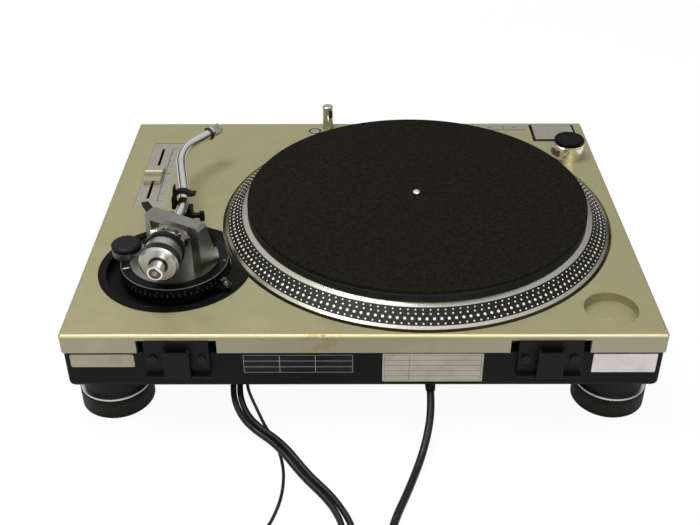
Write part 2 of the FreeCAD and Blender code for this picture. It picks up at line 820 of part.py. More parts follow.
# Tonearm base: a black dish let into the plate, flat towards the platter and cut by the platter's well.
pivot = (dim.pivot_x, pivot_y)
axis_of_platter = (dim.platter_x, platter_y)
dish_under = dim.arm_dish_floor - dim.arm_floor_thickness
flange_top = dim.plate_level + dim.arm_flange_thickness
barrel_trim = well_wall_radius + 0.4
barrel = cut(cylinder(arm_barrel_radius, dish_under, dim.plate_level + 0.1, *pivot),
             cylinder(barrel_trim, dish_under - 1, above, *axis_of_platter))
flange = cut(cylinder(dim.arm_flange_radius, dim.plate_level, flange_top, *pivot),
             cylinder(well_radius + 0.3, dim.plate_level - 1, above, *axis_of_platter))
dish = cut(cylinder(dim.arm_dish_radius, dim.arm_dish_floor, above, *pivot),
           cylinder(barrel_trim + 2, dish_under, above + 1, *axis_of_platter))
dish_opening = cylinder(dim.arm_dish_radius, dim.plate_level, above, *pivot)
boss = cut(cylinder(dim.boss_radius, dim.arm_dish_floor - 0.5, dim.plate_level, *pivot),
           cylinder(dim.boss_bore, dim.arm_dish_floor, above, *pivot),
           cylinder(barrel_trim, dish_under - 1, above, *axis_of_platter))
column = cylinder(dim.column_radius, dim.arm_dish_floor - 0.5, dim.column_top, *pivot)
sector_reach = dim.arm_flange_radius * 2
sector_middle = (dim.flat_from + dim.flat_to) / 2
sector_corners = [(0, 0)] + [(sector_reach * cosine(angle), sector_reach * sine(angle))
                             for angle in (dim.flat_from, sector_middle, dim.flat_to)]
sector = padded(sector_corners, 12, dim.pivot_x, pivot_y, dim.plate_level - 6)
flat_ring = cut(cylinder(dim.arm_flange_radius - 1, dim.plate_level, flange_top, *pivot),
                cylinder(dim.ring_foot_radius + 0.5, dim.plate_level - 5, above, *pivot),
                cylinder(well_radius + 0.3, dim.plate_level - 6, above, *axis_of_platter))
flat_zone = common(flat_ring, sector)
backing_ring = cut(cylinder(dim.arm_dish_radius + 1, dim.arm_dish_floor - 0.5, dim.plate_level + 0.1, *pivot),
                   cylinder(dim.ring_foot_radius + 0.5, dim.plate_level - 20, above, *pivot),
                   cylinder(barrel_trim, dim.plate_level - 20, above, *axis_of_platter))
backing_sector = padded(sector_corners, 30, dim.pivot_x, pivot_y, dim.plate_level - 15)
sector_backing = common(backing_ring, backing_sector)
dished = cut(fuse(barrel, flange), dish, dish_opening)
node(fuse(dished, boss, column, flat_zone, sector_backing), "arm_base")

ring_bottom = dim.plate_level + dim.loose_gap
ring_bore = dim.disc_radius + dim.loose_gap
height_ring_profile = [
    (ring_bore, ring_bottom),
    (dim.ring_foot_radius, ring_bottom),
    (dim.ring_top_radius, dim.ring_top - 0.8),
    (dim.ring_top_radius - 0.8, dim.ring_top),
    (ring_bore, dim.ring_top),
]
node(turned(height_ring_profile, *pivot), "height_ring")

lock_pin_x = dim.pivot_x + dim.lock_pin_out * cosine(dim.lock_pin_turn)
lock_pin_y = pivot_y + dim.lock_pin_out * sine(dim.lock_pin_turn)
lock_ball_x = dim.pivot_x + dim.lock_ball_out * cosine(dim.lock_ball_turn)
lock_ball_y = pivot_y + dim.lock_ball_out * sine(dim.lock_ball_turn)
lock_level = flange_top + dim.loose_gap
ball = doc.addObject("Part::Sphere", "ball")
bind(ball, "Radius", dim.lock_ball_radius)
place(ball, lock_ball_x, lock_ball_y, lock_level + dim.lock_ball_radius)
lock_hub = cylinder(2.8, lock_level, lock_level + 3, lock_pin_x, lock_pin_y)
lock_bar = rod(1.3, 9.5, lock_pin_x, lock_pin_y, lock_level + 1.5,
               Rotation(UP, Vector(lock_ball_x.value - lock_pin_x.value,
                                   lock_ball_y.value - lock_pin_y.value, 2.4)))
node(fuse(lock_hub, lock_bar, ball), "lock_lever")

# Arm pedestal: the bright disc that slides up inside the ring, with its guide stem and lower bearing post.
disc_under = dim.disc_top - dim.disc_thickness
post_top = dim.arm_level - dim.gimbal_outer - 0.5
pedestal_profile = [
    (dim.column_radius + dim.running_fit, dim.stem_bottom),
    (dim.stem_radius, dim.stem_bottom),
    (dim.stem_radius, disc_under),
    (dim.disc_radius, disc_under),
    (dim.disc_radius, dim.disc_top),
    (dim.bridge_post, dim.disc_top),
    (dim.bridge_post, post_top),
    (dim.gimbal_pin + dim.running_fit, post_top),
    (dim.gimbal_pin + dim.running_fit, post_top - 5),
    (0, post_top - 5),
    (0, dim.column_top + 1.5),
    (dim.column_radius + dim.running_fit, dim.column_top + 1.5),
]
pedestal_turned = turned(pedestal_profile, *pivot)
knob_x = dim.pivot_x + dim.knob_beside_pivot
knob_y = pivot_y - dim.knob_before_pivot
knob_seat = cylinder(dim.knob_radius, dim.disc_top, dim.disc_top + dim.knob_base_height, knob_x, knob_y)
knob_bore = cylinder(3 + dim.running_fit, dim.disc_top + 2, dim.disc_top + 20, knob_x, knob_y)
knob_web = padded([(24, -8), (34, -19), (44, -16), (44, 2), (34, 4), (26, 6)], dim.knob_base_height,
                  dim.pivot_x, pivot_y, dim.disc_top)
node(cut(fuse(pedestal_turned, knob_web, knob_seat), knob_bore), "arm_pedestal")

knob_top = dim.disc_top + dim.knob_base_height + dim.loose_gap
knob_profile = [
    (0, knob_top - 3),
    (3, knob_top - 3),
    (3, knob_top),
    (dim.knob_radius, knob_top),
    (dim.knob_radius, knob_top + dim.knob_cap_height - 1.4),
    (dim.knob_radius - 2, knob_top + dim.knob_cap_height),
    (0, knob_top + dim.knob_cap_height),
]
node(turned(knob_profile, knob_x, knob_y), "antiskate_knob")

# Arm bridge: an arch over the bearings, whose leg towards the platter runs out in front as a buttress.
bridge_turn = Rotation(UP, dim.bridge_turn.value)
beam_under = dim.arm_level + dim.gimbal_outer + dim.bridge_clear
bridge_top = beam_under + dim.beam_thickness
inner_face = -(dim.bridge_inner - dim.bridge_inner_leg)
outer_face = dim.bridge_outer - dim.bridge_outer_leg
arch = [
    (-dim.bridge_inner, dim.disc_top),
    (inner_face, dim.disc_top),
    (inner_face, beam_under - 4),
    (inner_face + 4, beam_under),
    (outer_face, beam_under),
    (outer_face, dim.disc_top),
    (dim.bridge_outer, dim.disc_top),
    (dim.bridge_outer, bridge_top - 1),
    (dim.bridge_outer - 1, bridge_top),
    (-dim.bridge_inner + dim.bridge_bevel, bridge_top),
    (-dim.bridge_inner, bridge_top - dim.bridge_bevel),
]
bridge_depth = dim.bridge_rear + dim.bridge_front
bridge_middle = (dim.bridge_rear - dim.bridge_front) / 2
arch_x = dim.pivot_x - bridge_middle * sine(dim.bridge_turn)
arch_y = pivot_y + bridge_middle * cosine(dim.bridge_turn)
arch_solid = upright(arch, bridge_depth, arch_x, arch_y, 0, bridge_turn)
leg_side = dim.bridge_inner - dim.bridge_inner_leg / 2
buttress = upright([(-dim.bridge_front + 0.5, dim.disc_top),
                    (-dim.bridge_front + 0.5, dim.buttress_top),
                    (-dim.bridge_front, dim.buttress_top),
                    (-dim.buttress_front, dim.disc_top)],
                   dim.bridge_inner_leg, dim.pivot_x - leg_side * cosine(dim.bridge_turn),
                   pivot_y - leg_side * sine(dim.bridge_turn), 0, bridge_turn * Rotation(UP, 90))
bridge_bore = cylinder(dim.gimbal_pin + dim.running_fit, beam_under - 1, beam_under + 4, *pivot)
node(cut(fuse(arch_solid, buttress), bridge_bore), "arm_bridge")

# Gimbal: a ring about the arm that turns on upright pins, with a bearing screw at each side.
arm_heading = Rotation(UP, dim.arm_turn.value)
arm_tilted = arm_heading * Rotation(Vector(0, 1, 0), -dim.arm_nose_up.value)
gimbal_band = cut(rod(dim.gimbal_outer, dim.gimbal_half * 2, -dim.gimbal_half, 0, 0, ALONG_X),
                  rod(dim.gimbal_bore, dim.gimbal_half * 3, -dim.gimbal_half * 1.5, 0, 0, ALONG_X))
upper_pin = cylinder(dim.gimbal_pin, dim.gimbal_bore + 1, dim.gimbal_outer + 4)
lower_pin = cylinder(dim.gimbal_pin, -dim.gimbal_outer - 4, -dim.gimbal_bore - 1)
screw_inside = dim.gimbal_bore + 0.4
screw_length = dim.bearing_screw_reach - screw_inside
bearing_screws = [rod(dim.bearing_screw_radius, screw_length, 0, start, 0, ALONG_Y)
                  for start in (screw_inside, -dim.bearing_screw_reach)]
pin_bore = rod(dim.arm_pin_radius + dim.running_fit, dim.gimbal_outer * 1.9, 0, -dim.gimbal_outer * 0.95, 0,
               ALONG_Y)
gimbal = cut(fuse(gimbal_band, upper_pin, lower_pin, *bearing_screws), pin_bore)
node(place(gimbal, dim.pivot_x, pivot_y, dim.arm_level, arm_heading), "gimbal_ring")

# Arm tube: rear shaft, bearing hub with its side pins, and the S-shaped tube with a spigot at its end.
tube_route = [Vector(7, 0, 0), Vector(50.7, 0, 0), Vector(119.5, 19.6, 0), Vector(144, 19.8, 0),
              Vector(169.5, 4.2, 0)]
tube_solid = feature(swept(smooth_path(tube_route), dim.tube_radius.value), "tube")
tube_end = tube_route[-1]
tube_heading = (tube_route[-1] - tube_route[-2]).normalize()
spigot_round = Part.makeCylinder(dim.spigot_radius.value, dim.spigot_length.value + 1,
                                 tube_end - tube_heading, tube_heading)
spigot = feature(spigot_round, "spigot")
hub = rod(dim.arm_hub_radius, dim.arm_hub_half * 2, -dim.arm_hub_half, 0, 0, ALONG_X)
arm_pins = rod(dim.arm_pin_radius, dim.gimbal_outer * 1.8, 0, -dim.gimbal_outer * 0.9, 0, ALONG_Y)
shaft = rod(dim.arm_shaft_radius, dim.arm_shaft_end - dim.arm_hub_half + 1, -dim.arm_shaft_end, 0, 0, ALONG_X)
shaft_dimple = rod(1.6, 6, -dim.arm_shaft_end - 1, 0, 0, ALONG_X)
arm = cut(fuse(tube_solid, spigot, hub, arm_pins, shaft), shaft_dimple)
node(place(arm, dim.pivot_x, pivot_y, dim.arm_level, arm_tilted), "arm_tube")

collar_turn = Rotation(UP, tube_heading)
collar_profile = [
    (dim.spigot_radius + dim.running_fit, 0),
    (dim.collar_ring_radius, 0),
    (dim.collar_ring_radius, dim.collar_ring_length),
    (dim.collar_radius, dim.collar_ring_length),
    (dim.collar_radius, dim.collar_length),
    (dim.collar_bore, dim.collar_length),
    (dim.collar_bore, dim.spigot_length),
    (dim.spigot_radius + dim.running_fit, dim.spigot_length),
]
collar_place = arm_tilted.multVec(tube_end + tube_heading * dim.loose_gap.value)
collar = turned(collar_profile, dim.pivot_x + collar_place.x, pivot_y + collar_place.y,
                dim.arm_level + collar_place.z, arm_tilted * collar_turn)
node(collar, "lock_collar")

rearwards = arm_tilted * Rotation(Vector(0, 1, 0), -90)
weight_bore = dim.arm_shaft_radius + dim.running_fit
weight_profile = [
    (weight_bore, dim.weight_front),
    (dim.weight_radius, dim.weight_front),
    (dim.weight_radius, dim.weight_back - dim.weight_ring_length - 2),
    (dim.weight_ring_radius, dim.weight_back - dim.weight_ring_length - 2),
    (dim.weight_ring_radius, dim.weight_back - 2),
    (dim.weight_radius, dim.weight_back - 1),
    (dim.weight_radius - 1, dim.weight_back),
    (weight_bore, dim.weight_back),
]
node(turned(weight_profile, dim.pivot_x, pivot_y, dim.arm_level, rearwards), "counterweight")
dial_back = dim.weight_front - dim.loose_gap
dial_front = dial_back - dim.dial_length
dial_profile = [
    (weight_bore, dial_front),
    (dim.dial_radius - 0.8, dial_front),
    (dim.dial_radius, dial_front + 0.8),
    (dim.dial_radius, dial_back),
    (weight_bore, dial_back),
]
node(turned(dial_profile, dim.pivot_x, pivot_y, dim.arm_level, rearwards), "weight_dial")

# Cueing lift: a bracket on the disc, a column with a bar under the tube, and the lever that works it.
lift_rise = dim.lift_along * sine(dim.arm_nose_up)
lift_bar_top = dim.arm_level + lift_rise - dim.tube_radius - dim.lift_gap
lift_bar_bottom = lift_bar_top - dim.lift_bar_thickness
bracket_top = dim.disc_top + dim.bracket_thickness
lift_bar = fuse(block(dim.lift_along - dim.lift_bar_width / 2, dim.lift_along + dim.lift_bar_width / 2,
                      dim.lift_inner_side, dim.lift_column_side + 3, lift_bar_bottom, lift_bar_top),
                cylinder(dim.lift_column_radius, bracket_top + 1, lift_bar_top, dim.lift_along,
                         dim.lift_column_side),
                cylinder(dim.lift_end_radius, lift_bar_bottom - 3, lift_bar_top + 2, dim.lift_along,
                         dim.lift_inner_side))
node(place(lift_bar, dim.pivot_x, pivot_y, 0, arm_heading), "lift_bar")

bracket_plate = padded([(18, 11), (18, 24), (dim.lift_along + 7, 24), (dim.lift_along + 7, 11)],
                       dim.bracket_thickness, 0, 0, dim.disc_top)
cue_housing = cylinder(dim.cue_housing_radius, dim.disc_top, dim.cue_housing_top, dim.lift_along,
                       dim.lift_column_side)
lever_side = dim.lift_column_side + dim.cue_housing_radius
lever_pin = rod(1.5, 9, dim.lift_along, lever_side - 1.5, dim.cue_axis_level, ALONG_Y)
housing_bore = cylinder(dim.lift_column_radius + dim.running_fit, bracket_top, above + 20, dim.lift_along,
                        dim.lift_column_side)

# Arm rest: a post that cradles the tube from below and outside, lugs for the clip, and its foot on the disc.
rest_rise = dim.rest_along * sine(dim.arm_nose_up)
tube_side = 1.6
tube_level = dim.arm_level + rest_rise
cradle_level = tube_level - dim.tube_radius - dim.rest_gap
cradle_radius = dim.tube_radius + dim.rest_play
lip_side = tube_side + cradle_radius - 0.2
rest_front = dim.rest_along - dim.rest_depth / 2
rest_back = dim.rest_along + dim.rest_depth / 2
clip_axis_side = tube_side + 7.6
clip_axis_level = tube_level - 5.2
rest_foot = block(20, rest_back, -6, 6, dim.disc_top, bracket_top)
rest_post = block(rest_front, rest_back, dim.rest_inner_side, lip_side, bracket_top - 1, cradle_level)
rest_lip = cut(block(rest_front, rest_back, tube_side, lip_side, cradle_level - 1, tube_level - 2.6),
               rod(cradle_radius, dim.rest_depth * 2, rest_front - dim.rest_depth / 2, tube_side, tube_level,
                   ALONG_X))
lugs = [block(start, start + dim.clip_lug, lip_side - 0.5, clip_axis_side + 2, clip_axis_level - 2,
              clip_axis_level + 2) for start in (rest_front, rest_back - dim.clip_lug)]
clip_pin = rod(dim.clip_pin_radius, dim.rest_depth - 1, rest_front + 0.5, clip_axis_side, clip_axis_level,
               ALONG_X)
arm_rest = fuse(rest_foot, rest_post, rest_lip, *lugs, clip_pin)
node(place(arm_rest, dim.pivot_x, pivot_y, 0, arm_heading), "arm_rest")

cue_bracket = cut(fuse(bracket_plate, cue_housing, lever_pin), housing_bore)
node(place(cue_bracket, dim.pivot_x, pivot_y, 0, arm_heading), "cue_bracket")

# The clip: an arch over the tube with a leg on its pin, an upright finger outside and a small horn inside.
# The arch leaves room for the tube to lift a little and to swing away under its inner end.
clip_level = tube_level + dim.clip_lift
clip_inside = dim.tube_radius + dim.clip_play
clip_outside = clip_inside + dim.clip_band
clip_from = dim.rest_along - dim.clip_width / 2
clip_before = clip_from - dim.clip_width / 2
clip_below = block(clip_before, clip_before + dim.clip_width * 2, tube_side - 20, tube_side + 20,
                   clip_level - 20, clip_level + 3.3)
clip_arch = cut(rod(clip_outside, dim.clip_width, clip_from, tube_side, clip_level, ALONG_X),
                rod(clip_inside, dim.clip_width * 2, clip_before, tube_side, clip_level, ALONG_X),
                clip_below)


def clip_piece(corners):
    """A flat piece of the clip, its corners measured across and up from the arch's centre."""
    corners = [(tube_side + across, clip_level + up) for across, up in corners]
    return upright(corners, dim.clip_width, dim.rest_along, 0, 0, Rotation(UP, 90))


clip_leg = clip_piece([(clip_inside, -6.6), (clip_inside + 3.6, -6.6), (clip_inside + 3.9, -2),
                       (clip_inside + 3.4, 1.5), (clip_inside + 2.3, 4.2), (clip_inside - 0.7, 4.2),
                       (clip_inside, 2)])
clip_finger = clip_piece([(clip_inside, 3), (clip_inside + 2.6, 3), (clip_inside + 1.3, 12),
                          (clip_inside + 0.3, 12)])
clip_horn = clip_piece([(-6, 6.4), (-7, 3.6), (-10.8, 4.6), (-11.2, 6.6), (-8.4, 6.4)])
clip_hub = rod(2, dim.clip_width, clip_from, clip_axis_side, clip_axis_level, ALONG_X)
clip_bore = rod(dim.clip_pin_radius + dim.running_fit, dim.clip_width * 2, clip_before, clip_axis_side,
                clip_axis_level, ALONG_X)
clip = cut(fuse(clip_arch, clip_leg, clip_finger, clip_horn, clip_hub), clip_bore)
node(place(clip, dim.pivot_x, pivot_y, 0, arm_heading), "arm_clip")

lever_inside = lever_side + dim.loose_gap
lever_hub = rod(4, dim.cue_handle_width, dim.lift_along, lever_inside, dim.cue_axis_level, ALONG_Y)
lever_bar = padded([(dim.lift_along, lever_inside),
                    (dim.lift_along + 4, lever_inside),
                    (dim.cue_handle_along + 2, dim.cue_handle_side - dim.cue_handle_width / 2),
                    (dim.cue_handle_along, dim.cue_handle_side + dim.cue_handle_width / 2),
                    (dim.lift_along, lever_inside + dim.cue_handle_width)],
                   3.6, 0, 0, dim.cue_axis_level - 1.8)
lever_bore = rod(1.5 + dim.running_fit, 20, dim.lift_along, lever_inside - 5, dim.cue_axis_level, ALONG_Y)
cue_lever = cut(fuse(lever_hub, lever_bar), lever_bore)
node(place(cue_lever, dim.pivot_x, pivot_y, 0, arm_heading), "cue_lever")

# Black sleeve with the arm's fine wires: a loop out of the bridge's front and back into its buttress.
bridge_foot = Vector(dim.pivot_x.value, pivot_y.value, dim.disc_top.value)
sleeve_route = [bridge_foot + bridge_turn.multVec(Vector(-leg_side.value + across, along, up))
                for across, along, up in ((0, -1.5, 32.5), (-0.3, -11.5, 30.5), (-1, -14.6, 21.5),
                                          (-1, -14.6, 15.5), (-0.4, -8, 11))]
node(feature(swept(smooth_path(sleeve_route), 2.3), "sleeve"), "arm_wire")

# Pitch slider: a brushed panel with its slot, and the knob that runs in it.
panel = centred(dim.panel_x, panel_y, dim.panel_width - 0.2, dim.panel_length - 0.2, panel_seat, panel_top)
slot = centred(dim.slot_x, slot_y, dim.slot_width, dim.slot_length, panel_seat - 1, above)
node(cut(panel, slot), "pitch_panel")
slider_bottom = panel_top + dim.loose_gap
slider_body = centred(dim.slot_x + 0.4, slider_y, dim.slider_width, dim.slider_length, slider_bottom,
                      slider_bottom + dim.slider_height)
slider_ridge = centred(dim.slot_x + 0.4, slider_y, dim.slider_width, 6, slider_bottom,
                       slider_bottom + dim.slider_ridge)
slider_stem = centred(dim.slot_x, slider_y, dim.slot_width - dim.running_fit * 2, 8, case_seam + 4,
                      slider_bottom + 1)
node(fuse(slider_body, slider_ridge, slider_stem), "slider_knob")

# Buttons: start and stop in its recess, two speed buttons, the lamp's button and the pop-up lamp.
button_top = dim.plate_level + dim.button_proud
start_cap = centred(dim.start_x, start_y, dim.start_recess_width - dim.start_gap * 2,
                    dim.start_recess_length - dim.start_gap * 2, tray_floor + dim.button_travel + 0.4,
                    button_top)
start_stem = cylinder(4, tray_floor - 4, button_top - 1, dim.start_x, start_y)
node(fuse(start_cap, start_stem), "start_button")
for name, x in (("speed_button_slow", dim.speed_slow_x), ("speed_button_fast", dim.speed_fast_x)):
    cap = centred(x, speed_y, dim.speed_width, dim.speed_length, skin_under + 0.5, button_top)
    node(cap, name)
lamp_button = cylinder(dim.lamp_button_radius, skin_under, dim.plate_level - 0.2, dim.lamp_button_x,
                       lamp_button_y)
node(lamp_button, "lamp_button")
lamp_profile = [
    (0, dim.lamp_bottom),
    (dim.lamp_radius, dim.lamp_bottom),
    (dim.lamp_radius, dim.lamp_top - 1.2),
    (dim.lamp_radius - 1.2, dim.lamp_top),
    (0, dim.lamp_top),
]
node(turned(lamp_profile, dim.lamp_x, lamp_y), "target_lamp")

# Power post with its strobe snout and red window, and the knob on top.
post_top_level = dim.plate_level + dim.post_height
post_profile = [
    (4 + dim.running_fit, dim.plate_level),
    (dim.post_radius, dim.plate_level),
    (dim.post_radius, post_top_level - dim.post_rim),
    (dim.post_cap_radius, post_top_level - dim.post_rim / 2),
    (dim.post_cap_radius, post_top_level),
    (4 + dim.running_fit, post_top_level),
]
snout_turn = Rotation(UP, dim.snout_turn.value)
post_tube = turned(post_profile, dim.post_x, post_y)
snout_low = dim.plate_level + dim.snout_bottom
snout_high = dim.plate_level + dim.snout_top
pane_half = dim.snout_width / 2 - 1.5
snout = centred(dim.snout_reach / 2 + 3, 0, dim.snout_reach - 6, dim.snout_width, snout_low, snout_high)
snout_window = block(dim.snout_reach - 0.8, dim.snout_reach + 1, -pane_half, pane_half, snout_low + 1.5,
                     snout_high - 1.5)
snout_block = cut(snout, snout_window)
place(snout_block, dim.post_x, post_y, 0, snout_turn)
post_stem_room = cylinder(4 + dim.running_fit, dim.plate_level, post_top_level, dim.post_x, post_y)
node(cut(fuse(post_tube, snout_block), post_stem_room), "power_post")
pane = block(dim.snout_reach - 0.8, dim.snout_reach, -pane_half, pane_half, snout_low + 1.5, snout_high - 1.5)
pane_front = block(dim.snout_reach - 0.4, dim.snout_reach + 0.2, -pane_half + 0.5, pane_half - 0.5,
                   snout_low + 2, snout_high - 2)
strobe_window = fuse(pane, pane_front)
node(place(strobe_window, dim.post_x, post_y, 0, snout_turn), "strobe_window")
cap_bottom = post_top_level + dim.loose_gap
cap_top = cap_bottom + dim.post_cap_height
power_profile = [
    (0, cap_bottom - 12),
    (4, cap_bottom - 12),
    (4, cap_bottom),
    (dim.post_cap_radius, cap_bottom),
    (dim.post_cap_radius, cap_top - 1.2),
    (dim.post_cap_radius - 1.2, cap_top),
    (dim.post_cap_radius - 2.6, cap_top),
    (dim.post_cap_radius - 3.1, cap_top - 0.6),
    (0, cap_top - 0.6),
]
node(turned(power_profile, dim.post_x, post_y), "power_knob")

# Lid hinge sockets: a block in the back wall with a ledge, and a pocket that a lid's blade drops into.
socket_names = {"hinge_socket_right": dim.hinge_x, "hinge_socket_left": -dim.hinge_x}
socket_top = dim.hinge_notch_top - dim.loose_gap
for name, x in socket_names.items():
    socket_block = centred(x, (dim.hinge_front + dim.hinge_back) / 2, dim.hinge_block,
                           dim.hinge_back - dim.hinge_front, dim.hinge_bottom, socket_top)
    ledge = centred(x, (dim.hinge_front + dim.hinge_back + 4) / 2, dim.hinge_block,
                    dim.hinge_back + 4 - dim.hinge_front, dim.hinge_bottom, dim.hinge_bottom + 2)
    tab = block(x - dim.hinge_tab / 2, x + dim.hinge_tab / 2, dim.hinge_back - 1, dim.hinge_tab_back,
                dim.hinge_bottom, dim.hinge_tab_top)
    slot_back = dim.hinge_tab_back - 1.5
    blade_slot = block(x - dim.hinge_slot / 2, x + dim.hinge_slot / 2, slot_back - dim.hinge_slot_depth,
                       slot_back, dim.hinge_bottom + 2, dim.hinge_tab_top + 6)
    node(cut(fuse(socket_block, ledge, tab), blade_slot), name)

# Screws: two in each hinge socket and six under the base.
screw_heads = [rod(dim.screw_radius, 2, x + dim.hinge_screw_out * side, dim.hinge_back, dim.hinge_screw_level,
                   ALONG_Y) for x in hinge_sides for side in (-1, 1)]
cover_screws = [cylinder(dim.screw_radius, base_bottom - 1.2, base_bottom + cover_play,
                         (dim.cover_length / 2 - dim.cover_screw_in) * sx,
                         cabinet_middle + (dim.cover_width / 2 - dim.cover_screw_in) * sy)
                for sx in (-1, 0, 1) for sy in (-1, 1)]
node(group(*screw_heads, *cover_screws), "case_screws")

# Blank plates on the back of the base.
label_back = base_back + dim.label_thickness
rating_plate = block(dim.rating_from, dim.rating_to, base_back, label_back, dim.rating_low, dim.rating_high)
node(rating_plate, "rating_panel")
labels = [block(dim.plate_from, dim.plate_to, base_back, label_back, dim.plate_low, dim.plate_high),
          block(dim.label_from, dim.label_to, base_back, label_back, dim.label_low, dim.rating_high),
          block(-dim.plate_to, -dim.plate_from, base_back, label_back, dim.sticker_low, dim.plate_high)]
node(group(*labels), "rear_labels")

# Cords. Each route starts at its gland under the back of the base and ends in a coil behind the object.
COIL_GAP = 0.6


def biarc(start, leaving, end, arriving):
    """Two arcs that join two points with given headings."""
    gap = end - start
    both = leaving + arriving
    bend = 2 * (1 - leaving.dot(arriving))
    along = gap.dot(both)
    reach = (math.sqrt(along ** 2 + bend * gap.dot(gap)) - along) / bend
    first_apex = start + leaving * reach
    second_apex = end - arriving * reach
    join = (first_apex + second_apex) * 0.5
    return [arc_between(start, first_apex, join), arc_between(join, second_apex, end)]


def coil_path(centre, start_angle, side, per_layer, layers, diameter, middle_radius, tail_level):
    """Loops that spiral in and out by layers, and a tail that steps off the pile to the plug's height.

    A loop takes four steps. Side is 1 for loops that run anticlockwise from above, -1 for clockwise ones.
    """
    pitch = diameter + COIL_GAP
    half_spread = pitch * per_layer / 8
    outer = middle_radius + half_spread
    inner = middle_radius - half_spread
    rings = []
    for layer in range(layers):
        level = diameter / 2 + pitch * layer
        begin, finish = (inner, outer) if layer % 2 else (outer, inner)
        if layer:
            turning = begin - 0.15 * pitch if begin == inner else begin + 0.15 * pitch
            rings.append((turning, level - pitch / 2))
        for step in range(per_layer + 1):
            rings.append((begin + (finish - begin) * step / per_layer, level))
    top = diameter / 2 + pitch * (layers - 1)
    rings.append((outer + 0.6 * pitch, top))
    rings.append((outer + 1.15 * pitch, (top + tail_level) / 2))
    rings.append((outer + 1.15 * pitch, tail_level))
    spots = []
    for step, (radius, level) in enumerate(rings):
        angle = math.radians(start_angle + 90 * side * step)
        across, along = radius * math.cos(angle), radius * math.sin(angle)
        spots.append(Vector(centre[0] + across, centre[1] + along, level))
    headings = [(after - before).normalize() for before, after in zip(spots, spots[2:])]
    for place_in_list, step in ((0, 0), (len(headings) + 1, len(spots) - 1)):
        angle = math.radians(start_angle + 90 * side * step)
        headings.insert(place_in_list, Vector(-math.sin(angle), math.cos(angle), 0) * side)
    edges = [Part.LineSegment(spots[0] - headings[0] * diameter, spots[0])]
    for index in range(len(spots) - 1):
        edges.extend(biarc(spots[index], headings[index], spots[index + 1], headings[index + 1]))
    edges.append(Part.LineSegment(spots[-1], spots[-1] + headings[-1] * diameter))
    path = Part.Wire([edge.toShape() for edge in edges])
    return path, spots[0] - headings[0] * diameter, spots[-1] + headings[-1] * diameter, headings[-1]


def least_gap(path, diameter):
    """Smallest free space between stretches of a path that lie some diameters apart along it."""
    spots = path.discretize(int(path.Length / 4))
    apart = int(diameter * 6 / 4) + 1
    nearest = min((spots[a] - spots[b]).Length for a in range(len(spots) - apart)
                  for b in range(a + apart, len(spots)))
    return nearest - diameter


def beside(route, offset):
    """The same route moved sideways over the floor, for one cable of a pair."""
    moved = []
    for index, spot in enumerate(route):
        heading = route[min(index + 1, len(route) - 1)] - route[max(index - 1, 0)]
        across = Vector(heading.y, -heading.x, 0).normalize()
        moved.append(spot + across * offset)
    return moved


def cord(name, route, diameter):
    """The free stretch of a cord as a tube along its route."""
    return feature(swept(smooth_path(route, name, diameter), diameter / 2), name)


def coil(name, diameter, *layout):
    """The wound rest of a cord, with where its plug goes."""
    path, _, end, heading = coil_path(*layout)
    print(name, "length", round(path.Length), "least gap to itself", round(least_gap(path, diameter), 2))
    return feature(swept(path, diameter / 2), name), end, heading


def seated(pieces, spot, heading):
    """Plug pieces built along X from the origin, put at a cord's end."""
    return place(fuse(*pieces), spot.x, spot.y, spot.z, Rotation(Vector(1, 0, 0), heading))


mains_wide = dim.mains_diameter.value
phono_wide = dim.phono_diameter.value
ground_wide = dim.ground_diameter.value

mains_route = [Vector(-52, 168, 29.4), Vector(-52, 183, 22.8), Vector(-48.6, 199.5, 12.4),
               Vector(-43, 216, 4.3), Vector(-36.9, 233.5, 3), Vector(-30.3, 252, 3), Vector(-22.6, 271, 3),
               Vector(-16.4, 293, 3), Vector(-13.6, 316.5, 3), Vector(-13.6, 338.6, 3)]
mains_layout = ((-13.6 - 45.3, 344.6), 0, 1, 12, 2, mains_wide, 35.4, 10.4)
node(cord("mains lead", mains_route, mains_wide), "mains_lead")
mains_coil, mains_end, mains_heading = coil("mains coil", mains_wide, *mains_layout)
node(mains_coil, "mains_coil")
mains_boot = rod(4.6, 13, 0, 0, 0, ALONG_X)
mains_body = centred(24, 0, 26, 27, -9.6, 9.6)
blades = [centred(44, side * 6.35, 18, 1.6, -3.2, 3.2) for side in (-1, 1)]
node(seated([mains_boot, mains_body, *blades], mains_end, mains_heading), "mains_plug")

twin_route = [Vector(99.5, 148, 26), Vector(99.5, 161, 24.6), Vector(96.3, 173, 18.2),
              Vector(89.5, 181.5, 10.6), Vector(79.5, 188.6, 6), Vector(68.3, 198, 5.4),
              Vector(58, 210.5, 5.2), Vector(49.3, 222.8, 3.4), Vector(40.8, 234.4, 2.6),
              Vector(32.8, 244, 2.5), Vector(25.4, 253.4, 2.5), Vector(18.6, 264.5, 2.5)]
phono_half_gap = phono_wide / 2 + 0.2
phono_right = beside(twin_route, phono_half_gap) + [Vector(15.6, 279, 2.5), Vector(14.2, 297, 2.5),
                                                    Vector(14.9, 319, 2.5), Vector(14.9, 340.2, 2.5)]
phono_left = beside(twin_route, -phono_half_gap) + [Vector(8.8, 279, 2.5), Vector(5.4, 298, 2.5),
                                                    Vector(4.2, 320, 2.5), Vector(4.9, 342, 2.5),
                                                    Vector(7, 364, 2.5), Vector(10.5, 385, 2.5),
                                                    Vector(13.8, 404, 2.5), Vector(14.9, 422, 2.5),
                                                    Vector(14.9, 439.2, 2.5)]
phono_middle = 27.6
phono_outer = phono_middle + (phono_wide + COIL_GAP) * 14 / 8
phono_layouts = [((14.9 + phono_outer, back), 180, -1, 14, 2, phono_wide, phono_middle, 5.6)
                 for back in (345, 444)]
leads = [cord("phono right", phono_right, phono_wide), cord("phono left", phono_left, phono_wide)]
node(group(*leads), "phono_leads")
phono_coils = []
phono_plugs = []
